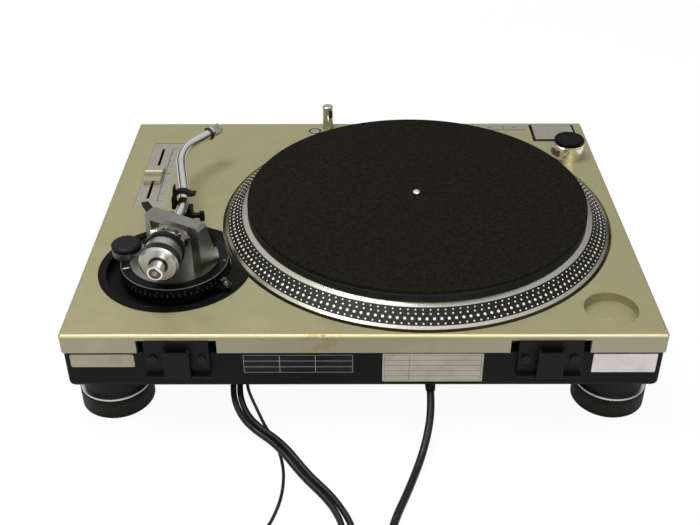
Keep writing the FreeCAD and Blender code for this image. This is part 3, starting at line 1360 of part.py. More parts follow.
for layout in phono_layouts:
    wound, end, heading = coil("phono coil", phono_wide, *layout)
    phono_coils.append(wound)
    sleeve = rod(3.4, 9, 0, 0, 0, ALONG_X)
    barrel = rod(5.2, 24, 8, 0, 0, ALONG_X)
    collar_shell = rod(4.2, 8, 31, 0, 0, ALONG_X)
    tip = rod(1.6, 15, 31, 0, 0, ALONG_X)
    phono_plugs.append(seated([sleeve, barrel, collar_shell, tip], end, heading))
node(group(*phono_coils), "phono_coils")
node(group(*phono_plugs), "phono_plugs")

ground_route = [Vector(91.5, 148, 25), Vector(91.5, 157, 25), Vector(87.5, 163.5, 17), Vector(82, 169.5, 7.2),
                Vector(77, 178, 1.7), Vector(71.2, 188, 1.3), Vector(66.3, 199, 1.3), Vector(62.3, 212, 1.3),
                Vector(59.8, 224, 1.3), Vector(58.9, 236, 1.3), Vector(59.5, 251, 1.3),
                Vector(62.4, 265, 1.3),
                Vector(67, 279, 1.3), Vector(74, 290, 1.3), Vector(86, 297.4, 1.3), Vector(101, 300.5, 1.3),
                Vector(115.5, 300.5, 1.3)]
ground_middle = 14.5
ground_outer = ground_middle + (ground_wide + COIL_GAP) * 13 / 8
ground_layout = ((118, 300.5 + ground_outer), -90, 1, 13, 4, ground_wide, ground_middle, 2.4)
node(cord("ground lead", ground_route, ground_wide), "ground_lead")
ground_coil, ground_end, ground_heading = coil("ground coil", ground_wide, *ground_layout)
node(ground_coil, "ground_coil")
crimp = rod(2.1, 8, 0, 0, 0, ALONG_X)
fork = cut(centred(13, 0, 12, 7, -0.5, 0.5), centred(16.5, 0, 9, 3.4, -1, 1))
node(seated([crimp, fork], ground_end, ground_heading), "ground_lug")

gland_front = dim.gland_back - dim.gland_depth
relief_slope = Rotation(UP, Vector(0, 15, -6.6))
relief = doc.addObject("Part::Cone", "relief")
relief_start = mains_route[0] - Vector(0, 15, -6.6).normalize() * 28
bind(relief, "Radius1", dim.mains_diameter)
bind(relief, "Radius2", dim.mains_diameter / 2 + 0.7)
relief.Height = 28
place(relief, relief_start.x, relief_start.y, relief_start.z, relief_slope)
mains_gland = fuse(block(-62, -42, gland_front, dim.gland_back, dim.gland_bottom, base_bottom), relief)
mains_gland_cut = cut(mains_gland, block(-70, -30, 100, 200, base_bottom, base_bottom + 20))
phono_gland = block(88, 108, gland_front, dim.gland_back, dim.gland_bottom - 2, base_bottom)
node(group(mains_gland_cut, phono_gland), "cord_glands")

doc.recompute()
for obj in doc.Objects:
    if "Invalid" in obj.State or "Error" in obj.State:
        raise RuntimeError(f"{obj.Name} ({obj.Label}) failed: {obj.State}")
os.makedirs("parts", exist_ok=True)
for obj in nodes:
    if obj.Shape.isNull() or not obj.Shape.isValid():
        raise RuntimeError(f"{obj.Label} has no valid shape")
    obj.Shape.exportStep(os.path.join("parts", f"{obj.Label}.step"))
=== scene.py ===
from math import atan2, cos, pi, radians, sin

import bpy
from mathutils import Matrix, Vector


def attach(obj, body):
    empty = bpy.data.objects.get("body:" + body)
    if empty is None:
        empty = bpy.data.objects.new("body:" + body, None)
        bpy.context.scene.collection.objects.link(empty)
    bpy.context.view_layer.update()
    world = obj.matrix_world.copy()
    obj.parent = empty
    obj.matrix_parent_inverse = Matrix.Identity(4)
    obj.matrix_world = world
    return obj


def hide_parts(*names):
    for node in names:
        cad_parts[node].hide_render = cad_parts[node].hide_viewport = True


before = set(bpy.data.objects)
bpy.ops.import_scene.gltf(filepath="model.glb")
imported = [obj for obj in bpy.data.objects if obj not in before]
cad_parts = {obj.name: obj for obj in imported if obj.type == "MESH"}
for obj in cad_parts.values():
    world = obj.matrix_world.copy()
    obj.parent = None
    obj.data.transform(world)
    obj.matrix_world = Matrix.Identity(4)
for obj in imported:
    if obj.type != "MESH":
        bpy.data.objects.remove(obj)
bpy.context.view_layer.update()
scene = bpy.context.scene

# Camera: it stands behind the turntable, about half a metre above the surface under it, and looks down on
# the back edge. The focal length is that of the photograph, for a picture of 700 by 525.
picture_width = 700
focal_length_pixels = 997.8
lens = bpy.data.cameras.new("camera")
lens.sensor_width = 36
lens.lens = focal_length_pixels * lens.sensor_width / picture_width
lens.clip_end = 20
pitch = radians(33.995)
yaw = radians(0.157)
roll = radians(-0.171)
ahead = Vector((sin(yaw) * cos(pitch), -cos(yaw) * cos(pitch), -sin(pitch)))
level_right = ahead.cross(Vector((0, 0, 1))).normalized()
level_up = level_right.cross(ahead)
right = level_right * cos(roll) + level_up * sin(roll)
up = level_up * cos(roll) - level_right * sin(roll)
camera = bpy.data.objects.new("camera", lens)
camera_turn = Matrix((right, up, -ahead)).transposed().to_4x4()
camera.matrix_world = Matrix.Translation((0.00835, 0.75324, 0.5431)) @ camera_turn
scene.collection.objects.link(camera)
scene.camera = camera
scene.view_settings.view_transform = "Standard"

# Mains lead: a round black rubber cord that leaves its sleeve under the back wall, drops to the floor and
# runs out behind. The rest of it is wound in a neat coil, and the moulded plug lies beside the coil.
coil_gap = 0.0006


def lay_cord(name, route, diameter):
    """A round cord along one smooth line."""
    curve = bpy.data.curves.new(name, "CURVE")
    curve.dimensions = "3D"
    curve.bevel_depth = diameter / 2
    curve.bevel_resolution = 3
    curve.resolution_u = 5
    spline = curve.splines.new("NURBS")
    spline.points.add(len(route) - 1)
    for point, spot in zip(spline.points, route):
        point.co = (*spot, 1)
    spline.order_u = 3
    spline.use_endpoint_u = True
    cord = bpy.data.objects.new(name, curve)
    scene.collection.objects.link(cord)
    return cord


def wind(centre, start_angle, side, quarters, layers, diameter, middle_radius, tail_level):
    """Points of a coil that winds inwards on the floor and outwards on top of that, sixteen to a turn.

    It has so many quarters of a turn in each layer. The end steps off the pile to the plug's height.
    Returns the points and the direction of the end.
    """
    pitch = diameter + coil_gap
    spread = pitch * quarters / 8
    outer = middle_radius + spread
    inner = middle_radius - spread
    rings = []
    for layer in range(layers):
        level = diameter / 2 + pitch * layer
        begin, end = (inner, outer) if layer % 2 else (outer, inner)
        if layer:
            turning = begin - 0.15 * pitch if begin == inner else begin + 0.15 * pitch
            rings.append((turning, level - pitch / 2))
        rings += [(begin + (end - begin) * step / quarters, level) for step in range(quarters + 1)]
    top = diameter / 2 + pitch * (layers - 1)
    rings += [(outer + 0.6 * pitch, top), (outer + 1.15 * pitch, (top + tail_level) / 2),
              (outer + 1.15 * pitch, tail_level)]
    points = []
    for step in range(4 * (len(rings) - 1) + 1):
        before, part = divmod(step, 4)
        after = min(before + 1, len(rings) - 1)
        radius = rings[before][0] + (rings[after][0] - rings[before][0]) * part / 4
        level = rings[before][1] + (rings[after][1] - rings[before][1]) * part / 4
        angle = radians(start_angle + 22.5 * side * step)
        reach = radius / cos(radians(11.25)) if 0 < step < 4 * (len(rings) - 1) else radius
        points.append((centre[0] + reach * cos(angle), centre[1] + reach * sin(angle), level))
    heading = Vector((-sin(angle), cos(angle), 0)) * side
    points.append(tuple(Vector(points[-1]) + heading * diameter))
    return points, heading


mains_route = [(-0.052, 0.168, 0.0294), (-0.052, 0.183, 0.0228), (-0.0486, 0.1995, 0.0124), (-0.043, 0.216, 0.0043),
               (-0.0369, 0.2335, 0.003), (-0.0303, 0.252, 0.003), (-0.0226, 0.271, 0.003), (-0.0164, 0.293, 0.003),
               (-0.0136, 0.3165, 0.003)]
mains_turns, mains_heading = wind(centre=(-0.0589, 0.3446), start_angle=0, side=1, quarters=12, layers=2,
                                  diameter=0.006, middle_radius=0.0354, tail_level=0.0104)
mains_lead = lay_cord("mains_lead_dressed", mains_route + mains_turns, 0.006)


class Wire:
    """A socket in a material's nodes. Arithmetic on wires adds the nodes that work it out."""

    def __init__(self, socket):
        self.socket = socket
        self.tree = socket.id_data

    def node(self, kind, settings=None, inputs=None, outlet=0):
        made = self.tree.nodes.new(kind)
        for name, value in (settings or {}).items():
            setattr(made, name, value)
        for name, value in (inputs or {}).items():
            if isinstance(value, Wire):
                self.tree.links.new(value.socket, made.inputs[name])
            else:
                made.inputs[name].default_value = value
        return Wire(made.outputs[outlet])

    def math(self, operation, *values):
        return self.node("ShaderNodeMath", {"operation": operation}, dict(enumerate((self, *values))))

    def __add__(self, other):
        return self.math("ADD", other)

    def __sub__(self, other):
        return self.math("SUBTRACT", other)

    def __mul__(self, other):
        return self.math("MULTIPLY", other)

    def __truediv__(self, other):
        return self.math("DIVIDE", other)

    def __rsub__(self, other):
        return self * -1 + other

    __radd__ = __add__
    __rmul__ = __mul__

    def within(self, low, high):
        """Rises smoothly from 0 at low to 1 at high, or falls on that way where low is the greater."""
        ends = {"Value": self, "From Min": low, "From Max": high}
        return self.node("ShaderNodeMapRange", {"interpolation_type": "SMOOTHSTEP"}, ends)

    def blend(self, first, second):
        """The colour first where this wire is 0, and second where it is 1."""
        colours = [(*colour, 1) if isinstance(colour, tuple) else colour for colour in (first, second)]
        return self.node("ShaderNodeMix", {"data_type": "RGBA"}, {0: self, 6: colours[0], 7: colours[1]}, 2)

    def noise(self, scale, detail=2.0, roughness=0.5):
        return self.node("ShaderNodeTexNoise", None,
                         {"Vector": self, "Scale": scale, "Detail": detail, "Roughness": roughness})

    def bump(self, distance, strength=1.0):
        return self.node("ShaderNodeBump", None, {"Height": self, "Distance": distance, "Strength": strength})

    def split(self):
        self.tree.nodes.new("ShaderNodeSeparateXYZ")
        parts = self.tree.nodes[-1]
        self.tree.links.new(self.socket, parts.inputs[0])
        return [Wire(socket) for socket in parts.outputs]

    def joined(self, y, z):
        return self.node("ShaderNodeCombineXYZ", None, {0: self, 1: y, 2: z})


def finish(name, colour, roughness, metallic=0.0, coat=0.0, shine=0.5):
    """A new material with its shader's sockets, and the place on the surface in metres."""
    material = bpy.data.materials.new(name)
    material.use_nodes = True
    tree = material.node_tree
    sockets = tree.nodes["Principled BSDF"].inputs
    sockets["Base Color"].default_value = (*colour, 1)
    sockets["Roughness"].default_value = roughness
    sockets["Metallic"].default_value = metallic
    sockets["Coat Weight"].default_value = coat
    sockets["Specular IOR Level"].default_value = shine
    material.diffuse_color = (*colour, 1)
    return material, sockets, Wire(tree.nodes.new("ShaderNodeTexCoord").outputs["Object"])


def feed(wire, socket):
    wire.tree.links.new(wire.socket, socket)


cord_black, sockets, place = finish("cord_black", (0.006, 0.006, 0.006), 0.42, shine=0.3)
scuffs = place.noise(90, 4, 0.6).within(0.45, 0.75)
feed(scuffs.blend((0.004, 0.004, 0.004), (0.014, 0.013, 0.012)), sockets["Base Color"])
feed(scuffs * 0.25 + 0.38, sockets["Roughness"])
feed(place.noise(1500, 2).bump(0.00008, 0.4), sockets["Normal"])


def dress(part, material):
    """Gives an object, or the CAD node of that name, one material."""
    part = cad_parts[part] if isinstance(part, str) else part
    part.data.materials.clear()
    part.data.materials.append(material)


dress(mains_lead, cord_black)
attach(mains_lead, "case")
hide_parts("mains_lead", "mains_coil")


def mesh_of(name, vertices, faces, sharp=35):
    """A mesh with smooth shading that breaks at edges over an angle."""
    mesh = bpy.data.meshes.new(name)
    mesh.from_pydata([tuple(vertex) for vertex in vertices], [], faces)
    mesh.validate()
    mesh.shade_smooth()
    mesh.set_sharp_from_angle(angle=radians(sharp))
    return mesh


def spun(profile, steps=64, closed=False):
    """Vertices and faces of a solid of revolution about Z from (radius, height) corners in mm."""
    vertices = []
    rings = []
    for radius, height in profile:
        if radius < 1e-6:
            rings.append([len(vertices)] * steps)
            vertices.append(Vector((0, 0, height / 1000)))
            continue
        rings.append(list(range(len(vertices), len(vertices) + steps)))
        for step in range(steps):
            angle = 2 * pi * step / steps
            vertices.append(Vector((radius * cos(angle), radius * sin(angle), height)) / 1000)
    faces = []
    pairs = list(zip(rings, rings[1:]))
    if closed:
        pairs.append((rings[-1], rings[0]))
    for low, high in pairs:
        for step in range(steps):
            following = (step + 1) % steps
            corners = (low[step], low[following], high[following], high[step])
            face = tuple(dict.fromkeys(corners))
            if len(face) > 2:
                faces.append(face)
    return vertices, faces


def gathered(parts):
    """Several (vertices, faces) as one, each moved by its matrix."""
    vertices = []
    faces = []
    for (points, polygons), matrix in parts:
        start = len(vertices)
        vertices += [matrix @ point for point in points]
        faces += [tuple(start + corner for corner in polygon) for polygon in polygons]
    return vertices, faces


def piece(name, shape, body, material, sharp=35):
    """A finished piece of the turntable that moves with a body."""
    made = bpy.data.objects.new(name, mesh_of(name, *shape, sharp=sharp))
    scene.collection.objects.link(made)
    dress(made, material)
    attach(made, body)
    return made


def facing(spot, heading, roll_up=Vector((0, 0, 1))):
    """A matrix that puts local Z along a heading, with local X as near as it can be to roll_up."""
    z = Vector(heading).normalized()
    y = z.cross(roll_up)
    y = y.normalized() if y.length > 1e-6 else Vector((0, 1, 0))
    x = y.cross(z)
    return Matrix.Translation(spot) @ Matrix((x, y, z)).transposed().to_4x4()


def rounded_box(width, depth, low, high, corner, steps=5, edge=0.0):
    """An upright box with rounded corners and small bevels, about Z, in mm."""
    def loop(inset, height):
        spots = []
        for turn, (sx, sy) in enumerate(((1, 1), (-1, 1), (-1, -1), (1, -1))):
            for step in range(steps + 1):
                angle = pi / 2 * (turn + step / steps)
                spots.append(Vector((sx * (width / 2 - corner) + (corner - inset) * cos(angle),
                                     sy * (depth / 2 - corner) + (corner - inset) * sin(angle), height)) / 1000)
        return spots
    levels = [(edge, low), (0, low + edge), (0, high - edge), (edge, high)] if edge else [(0, low), (0, high)]
    vertices = [spot for inset, height in levels for spot in loop(inset, height)]
    count = 4 * (steps + 1)
    faces = [tuple(reversed(range(count)))]
    for level in range(len(levels) - 1):
        base = level * count
        faces += [(base + step, base + (step + 1) % count, base + count + (step + 1) % count, base + count + step)
                  for step in range(count)]
    faces.append(tuple(range(len(vertices) - count, len(vertices))))
    return vertices, faces


plug_place = facing(mains_turns[-1], mains_heading)
plug_boot = spun([(0, -1), (3.6, -1), (3.9, 0), (3.9, 1.6), (3.3, 2.0), (3.3, 2.8), (4.2, 3.2), (4.2, 5.0),
                  (3.5, 5.4), (3.5, 6.2), (4.5, 6.6), (4.5, 8.4), (3.8, 8.8), (3.8, 9.6), (4.8, 10), (4.9, 12),
                  (0, 12)], 28)
plug_body = rounded_box(18.6, 26, 11, 36.5, 4.5, 6, 1.2)
plug_face = rounded_box(16.8, 24, 36.2, 37, 4)
blade = rounded_box(6.4, 1.5, 36.5, 53, 0.7, 4, 0.4)
blade_offset = 0.00635
blade_places = [Matrix.Translation((0, side * blade_offset, 0)) for side in (-1, 1)]
mains_plug = piece("mains_plug_dressed", gathered([(plug_boot, plug_place), (plug_body, plug_place),
                                                   (plug_face, plug_place)]), "case", cord_black)
brass, sockets, place = finish("brass", (0.62, 0.47, 0.22), 0.28, 1.0)
feed(place.noise(700, 3).within(0.3, 0.7) * 0.2 + 0.2, sockets["Roughness"])
mains_blades = piece("mains_plug_blades", gathered([(blade, plug_place @ at) for at in blade_places]),
                     "case", brass)
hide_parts("mains_plug")

# Signal leads: two screened cords of one pair, which part behind the case and end in gilt phono plugs.
# Each is wound in its own coil.
pair_offset = 0.0026
phono_middle_radius = 0.0276
phono_quarters = 14
phono_route = [(0.0995, 0.148, 0.026), (0.0995, 0.161, 0.0246), (0.0963, 0.173, 0.0182), (0.0895, 0.1815, 0.0106),
               (0.0795, 0.1886, 0.006), (0.0683, 0.198, 0.0054), (0.058, 0.2105, 0.0052), (0.0493, 0.2228, 0.0034),
               (0.0408, 0.2344, 0.0026), (0.0328, 0.244, 0.0025), (0.0254, 0.2534, 0.0025), (0.0186, 0.2645, 0.0025)]


def beside(route, offset):
    """The route of one cord of a pair, moved sideways over the floor."""
    moved = []
    for index, spot in enumerate(route):
        run = Vector(route[min(index + 1, len(route) - 1)]) - Vector(route[max(index - 1, 0)])
        moved.append(tuple(Vector(spot) + Vector((run.y, -run.x, 0)).normalized() * offset))
    return moved


phono_routes = {
    "right": beside(phono_route, pair_offset) + [(0.0156, 0.279, 0.0025), (0.0142, 0.297, 0.0025),
                                                 (0.0149, 0.319, 0.0025)],
    "left": beside(phono_route, -pair_offset) + [(0.0088, 0.279, 0.0025), (0.0054, 0.298, 0.0025),
                                                 (0.0042, 0.32, 0.0025), (0.0049, 0.342, 0.0025),
                                                 (0.007, 0.364, 0.0025), (0.0105, 0.385, 0.0025),
                                                 (0.0138, 0.404, 0.0025), (0.0149, 0.422, 0.0025)],
}
phono_outer = phono_middle_radius + (0.0048 + coil_gap) * phono_quarters / 8
plug_sleeve = spun([(0, -1), (2.9, -1), (3.2, 0), (3.2, 8), (3.0, 9), (0, 9)], 24)
plug_shell = spun([(3.0, 8), (4.6, 8), (5.0, 8.6), (5.0, 12), (4.7, 12.4), (4.7, 13), (5.0, 13.4), (5.0, 29),
                   (4.4, 31), (4.0, 31.2), (4.0, 38), (3.4, 38), (3.4, 32), (0, 32)], 28)
plug_pin = spun([(0, 31), (1.5, 31), (1.5, 43.5), (1.0, 45), (0, 45.4)], 16)
for side, coil_back in (("right", 0.345), ("left", 0.444)):
    turns, heading = wind(centre=(0.0149 + phono_outer, coil_back), start_angle=180, side=-1,
                          quarters=phono_quarters, layers=2, diameter=0.0048, middle_radius=phono_middle_radius,
                          tail_level=0.0056)
    cord = lay_cord(f"phono_lead_{side}", phono_routes[side] + turns, 0.0048)
    dress(cord, cord_black)
    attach(cord, "case")
    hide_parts("phono_leads", "phono_coils")
    at = facing(turns[-1], heading)
    sleeve = piece(f"phono_sleeve_{side}", gathered([(plug_sleeve, at)]), "case", cord_black)
    shell = piece(f"phono_plug_{side}", gathered([(plug_shell, at), (plug_pin, at)]), "case", brass)
    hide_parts("phono_plugs")

# Ground lead: a thin single wire beside the signal leads. It is wound in a small coil, with a brass fork
# crimped to its end.
ground_middle_radius = 0.0145
ground_quarters = 13
ground_route = [(0.0915, 0.148, 0.025), (0.0915, 0.157, 0.025), (0.0875, 0.1635, 0.017), (0.082, 0.1695, 0.0072),
                (0.077, 0.178, 0.0017), (0.0712, 0.188, 0.0013), (0.0663, 0.199, 0.0013), (0.0623, 0.212, 0.0013),
                (0.0598, 0.224, 0.0013), (0.0589, 0.236, 0.0013), (0.0595, 0.251, 0.0013), (0.0624, 0.265, 0.0013),
                (0.067, 0.279, 0.0013), (0.074, 0.29, 0.0013), (0.086, 0.2974, 0.0013), (0.101, 0.3005, 0.0013)]
ground_outer = ground_middle_radius + (0.0025 + coil_gap) * ground_quarters / 8
ground_turns = wind(centre=(0.118, 0.3005 + ground_outer), start_angle=-90, side=1, quarters=ground_quarters,
                    layers=4, diameter=0.0025, middle_radius=ground_middle_radius, tail_level=0.0024)[0]
ground_lead = lay_cord("ground_lead_dressed", ground_route + ground_turns, 0.0025)
dress(ground_lead, cord_black)
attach(ground_lead, "case")
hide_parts("ground_lead", "ground_coil")
dress("ground_lug", brass)

# Cord sleeves: soft black rubber mouldings that are pressed into the back edge of the base, where the
# cords come out, and keep them from bending sharply.
rubber_black, sockets, place = finish("rubber_black", (0.006, 0.006, 0.006), 0.62, shine=0.18)
dust = place.noise(35, 5, 0.65).within(0.42, 0.72)
feed(dust.blend((0.005, 0.005, 0.005), (0.013, 0.0125, 0.011)), sockets["Base Color"])
feed(dust * 0.18 + 0.55, sockets["Roughness"])
feed(place.noise(2200, 2).bump(0.00012, 0.35), sockets["Normal"])
dress("cord_glands", rubber_black)

# Floor, walls of light and lamps: a plain pale floor under soft light from above and from behind the
# camera. The camera sees the floor nearly white, and bright metal sees bright walls.
floor_reach = 6
floor_corners = [(x * floor_reach, y * floor_reach, 0) for x, y in ((-1, -1), (1, -1), (1, 1), (-1, 1))]
floor = bpy.data.objects.new("floor", mesh_of("floor", floor_corners, [(0, 1, 2, 3)]))
scene.collection.objects.link(floor)
floor.location.z = -0.0002
pale, sockets, place = finish("pale_floor", (0.86, 0.86, 0.86), 0.9)
tree = pale.node_tree
ray = tree.nodes.new("ShaderNodeLightPath")
glow = tree.nodes.new("ShaderNodeEmission")
glow.inputs["Color"].default_value = (1, 1, 1, 1)
white_to_camera = 0.94
white_in_mirrors = 0.3
seen = Wire(ray.outputs["Is Camera Ray"]) * white_to_camera
mirrored = Wire(ray.outputs["Is Glossy Ray"]).math("MAXIMUM", Wire(ray.outputs["Is Transmission Ray"]))
mixed = seen.node("ShaderNodeMixShader", None, {0: seen + mirrored * white_in_mirrors,
                                                1: Wire(tree.nodes["Principled BSDF"].outputs[0]),
                                                2: Wire(glow.outputs[0])})
feed(mixed, tree.nodes["Material Output"].inputs["Surface"])
dress(floor, pale)

world = bpy.data.worlds.new("world")
scene.world = world
world.use_nodes = True
tree = world.node_tree
ray = tree.nodes.new("ShaderNodeLightPath")
x, y, z = Wire(tree.nodes.new("ShaderNodeTexCoord").outputs["Generated"]).split()
room = (z.within(0.0, 0.9) * 0.5 + 0.13) * (y.within(-0.7, 0.8) * 0.8 + 0.45)
bright_walls = z.within(0.08, 0.5) * (x.within(-0.95, 0.1) * 0.4 + 0.5)
wall_strength = 0.62
room = room + Wire(ray.outputs["Is Glossy Ray"]) * bright_walls * wall_strength
sky = Wire(ray.outputs["Is Camera Ray"]).math("MAXIMUM", room)
feed(sky, tree.nodes["Background"].inputs["Color"])


def lamp(name, spot, target, size, watts):
    """A soft rectangular lamp that hangs at a spot and shines on a target."""
    light = bpy.data.lights.new(name, "AREA")
    light.shape = "RECTANGLE"
    light.size, light.size_y = size
    light.energy = watts
    made = bpy.data.objects.new(name, light)
    made.matrix_world = facing(spot, Vector(spot) - Vector(target), Vector((1, 0, 0)))
    scene.collection.objects.link(made)


lamp("top_lamp", (0.45, -0.05, 1.8), (0, 0, 0.05), (0.9, 0.7), 25)
lamp("back_lamp", (-0.5, 1.9, 1.2), (0, 0.1, 0.06), (1.3, 0.9), 15)

# Cabinet top: a die-cast tray with a platter well, sprayed in a fine metallic champagne silver and worn
# a little along its back edge, where old tape has left a yellow stain.
champagne, sockets, place = finish("champagne_paint", (0.32, 0.29, 0.15), 0.4, 0.35)
flake = place.noise(3800, 1)
cloud = place.noise(7, 3)
x, y, z = place.split()
tone = flake.within(0.3, 0.7).blend((0.27, 0.243, 0.124), (0.338, 0.31, 0.17))
tone = (cloud.within(0.35, 0.8) * 0.2).blend(tone, (0.235, 0.21, 0.105))
edge_glint = z.within(0.0845, 0.0853) * y.within(0.1715, 0.1722) * x.math("ABSOLUTE").within(0.2255, 0.2245)
tone = (edge_glint * 0.75).blend(tone, (0.8, 0.74, 0.42))
# The back wall below the top edge is painted paler and greyer than the top: painted light on that face.
painted_back_wall_light = y.within(0.1722, 0.1726) * z.within(0.0848, 0.084)
tone = (painted_back_wall_light * 0.55).blend(tone, (0.33, 0.315, 0.235))
handling = place.noise(42, 5, 0.7).within(0.52, 0.7) * y.within(0.168, 0.174)
tone = (handling * 0.3).blend(tone, (0.42, 0.39, 0.26))
# The walls of the openings for the start button, the speed buttons and the lamp, below the top face, are painted
# near black: painted shade in these recesses.
start_opening = (-0.2215, -0.1735, -0.1765, -0.1195)
speed_opening = (-0.1745, -0.1165, -0.1765, -0.1515)
lamp_opening = (0.0385, 0.0535, -0.1705, -0.1545)
soft = 0.0001
painted_recess_shade = None
for left, right, near, far in (start_opening, speed_opening, lamp_opening):
    area = x.within(left, left + soft) * x.within(right, right - soft)
    area = area * y.within(near, near + soft) * y.within(far, far - soft)
    painted_recess_shade = area if painted_recess_shade is None else painted_recess_shade.math("MAXIMUM", area)
painted_recess_shade = painted_recess_shade * z.within(0.0864, 0.0862)
tone = painted_recess_shade.blend(tone, (0.012, 0.011, 0.008))
stain_across = (x - 0.031).math("ABSOLUTE").within(0.019, 0.004)
stain = stain_across * place.noise(160, 4, 0.7).within(0.47, 0.56) * y.within(0.163, 0.17)
tone = (stain * 0.6).blend(tone, (0.33, 0.22, 0.05))
feed(tone, sockets["Base Color"])
feed(place.noise(60, 4).within(0.3, 0.75) * 0.14 + 0.34 + flake * 0.06, sockets["Roughness"])
feed(flake.bump(0.00005, 0.25), sockets["Normal"])
dress("cabinet_top", champagne)

# Base: a heavy rubber moulding that is screwed up into the tray from below. It has a fine leathery grain
# and holds dust. The cups over the feet are of the same black rubber.
base_rubber, sockets, place = finish("base_rubber", (0.006, 0.006, 0.006), 0.55, shine=0.1)
dust = place.noise(14, 5, 0.65).within(0.4, 0.75)
feed(dust.blend((0.004, 0.004, 0.004), (0.01, 0.0095, 0.0085)), sockets["Base Color"])
feed(dust * 0.15 + 0.48, sockets["Roughness"])
feed(place.noise(1400, 3).bump(0.0002, 0.3), sockets["Normal"])
dress("cabinet_base", base_rubber)
dress("bottom_cover", base_rubber)
dress("foot_cups", rubber_black)

# Works inside the case: windings, laminations, circuit board and bearing. They are fixed to the tray and
# are seen only when the case is opened.
iron, sockets, place = finish("winding_iron", (0.22, 0.14, 0.09), 0.5, 0.6)
layers = (place.split()[2] * 1800).math("FRACT")
feed(layers.within(0.4, 0.6).blend((0.16, 0.10, 0.07), (0.32, 0.2, 0.12)), sockets["Base Color"])
for name in ("transformer", "motor_stator", "rotor_magnet"):
    dress(name, iron)
board, sockets, place = finish("board_green", (0.02, 0.12, 0.05), 0.4)
feed(place.noise(120, 2).within(0.48, 0.52).blend((0.018, 0.11, 0.045), (0.03, 0.16, 0.07)), sockets["Base Color"])
dress("circuit_board", board)
dress("spindle_bearing", brass)

# Feet: thick rubber pucks that screw up and down. Their sides are fluted, with a band of crossed cuts
# for grip, and each has a thin bright ring above it.
foot_side = 0.1977
foot_back = 0.1405
foot_front = -0.1475
flute_count = 118
foot_rubber, sockets, place = finish("foot_rubber", (0.006, 0.006, 0.006), 0.5, shine=0.14)
x, y, z = place.split()
from_side = x.math("ABSOLUTE") - foot_side
front = y.math("LESS_THAN", 0)
from_back = y - (front * (foot_front - foot_back) + foot_back)
turn = from_back.math("ARCTAN2", from_side)
flutes = (turn * flute_count).math("SINE")
slant = turn * (flute_count // 2)
crossed = (slant + z * 2200).math("SINE").math("MAXIMUM", (slant - z * 2200).math("SINE"))
band = z.within(0.0045, 0.0052) * z.within(0.0145, 0.0138)
cuts = band * crossed + (1 - band) * flutes
feed(cuts.bump(0.0007, 0.9), sockets["Normal"])
# The grooves of the flutes and crossed cuts are painted darker than their ridges: painted shade in the grooves.
feed(cuts.within(-0.3, 0.9).blend((0.003, 0.003, 0.003), (0.02, 0.019, 0.016)), sockets["Base Color"])
for name in ("foot_front_left", "foot_front_right", "foot_rear_left", "foot_rear_right"):
    dress(name, foot_rubber)

silver, sockets, place = finish("silver", (0.58, 0.57, 0.53), 0.3, 1.0)
feed(place.noise(300, 4).within(0.3, 0.8) * 0.16 + 0.2, sockets["Roughness"])
dress("foot_trims", silver)

# Platter: a heavy casting, turned bright on top and on its bevel, with a sloping band that is blackened
# between four rows of polished strobe dots.
axis_x = -0.0473
axis_y = 0.0018
band_inner, band_top = 151.0, 98.0
band_outer, band_foot = 163.6, 89.6
platter_metal, sockets, place = finish("platter_metal", (0.5, 0.49, 0.42), 0.28, 1.0)
x, y, z = place.split()
off_x = x - axis_x
off_y = y - axis_y
from_axis = (off_x * off_x + off_y * off_y).math("SQRT")
dark_band = from_axis.within(0.1512, 0.1514) * from_axis.within(0.1637, 0.1635) * z.within(0.0885, 0.0895)
turning = (from_axis * 9000).math("SINE")
feed(dark_band.blend((0.5, 0.485, 0.42), (0.008, 0.008, 0.007)), sockets["Base Color"])
feed(1 - dark_band * 0.9, sockets["Metallic"])
feed(dark_band * 0.2 + turning * 0.03 + 0.22, sockets["Roughness"])
feed(turning.bump(0.00002, 0.3), sockets["Normal"])
sockets["Specular IOR Level"].default_value = 0.2
dress("platter", platter_metal)

band_slope = atan2(band_top - band_foot, band_outer - band_inner)
dot_rows = ((153.0, 170, 0.62), (155.7, 174, 0.72), (158.9, 180, 1.12), (162.2, 186, 0.72))
dots = []
for radius, count, size in dot_rows:
    level = band_top - (radius - band_inner) * (band_top - band_foot) / (band_outer - band_inner)
    dot = spun([(size, -0.1), (size, 0.16), (size * 0.72, 0.3), (0, 0.3)], 8)
    for index in range(count):
        angle = 2 * pi * index / count
        spot = Vector((axis_x, axis_y, 0)) + Vector((radius * cos(angle), radius * sin(angle), level)) / 1000
        normal = Vector((cos(angle) * sin(band_slope), sin(angle) * sin(band_slope), cos(band_slope)))
        dots.append((dot, facing(spot, normal)))
polished, sockets, place = finish("polished_dots", (0.8, 0.77, 0.64), 0.4, 0.3)
feed(place.noise(260, 3).within(0.3, 0.75) * 0.2 + 0.2, sockets["Roughness"])
piece("platter_dots", gathered(dots), "platter", polished)

# Rubber mat: a soft black disc that lies on the platter, held by its own weight. Only its edge shows
# under the slipmat.
dress("rubber_mat", rubber_black)

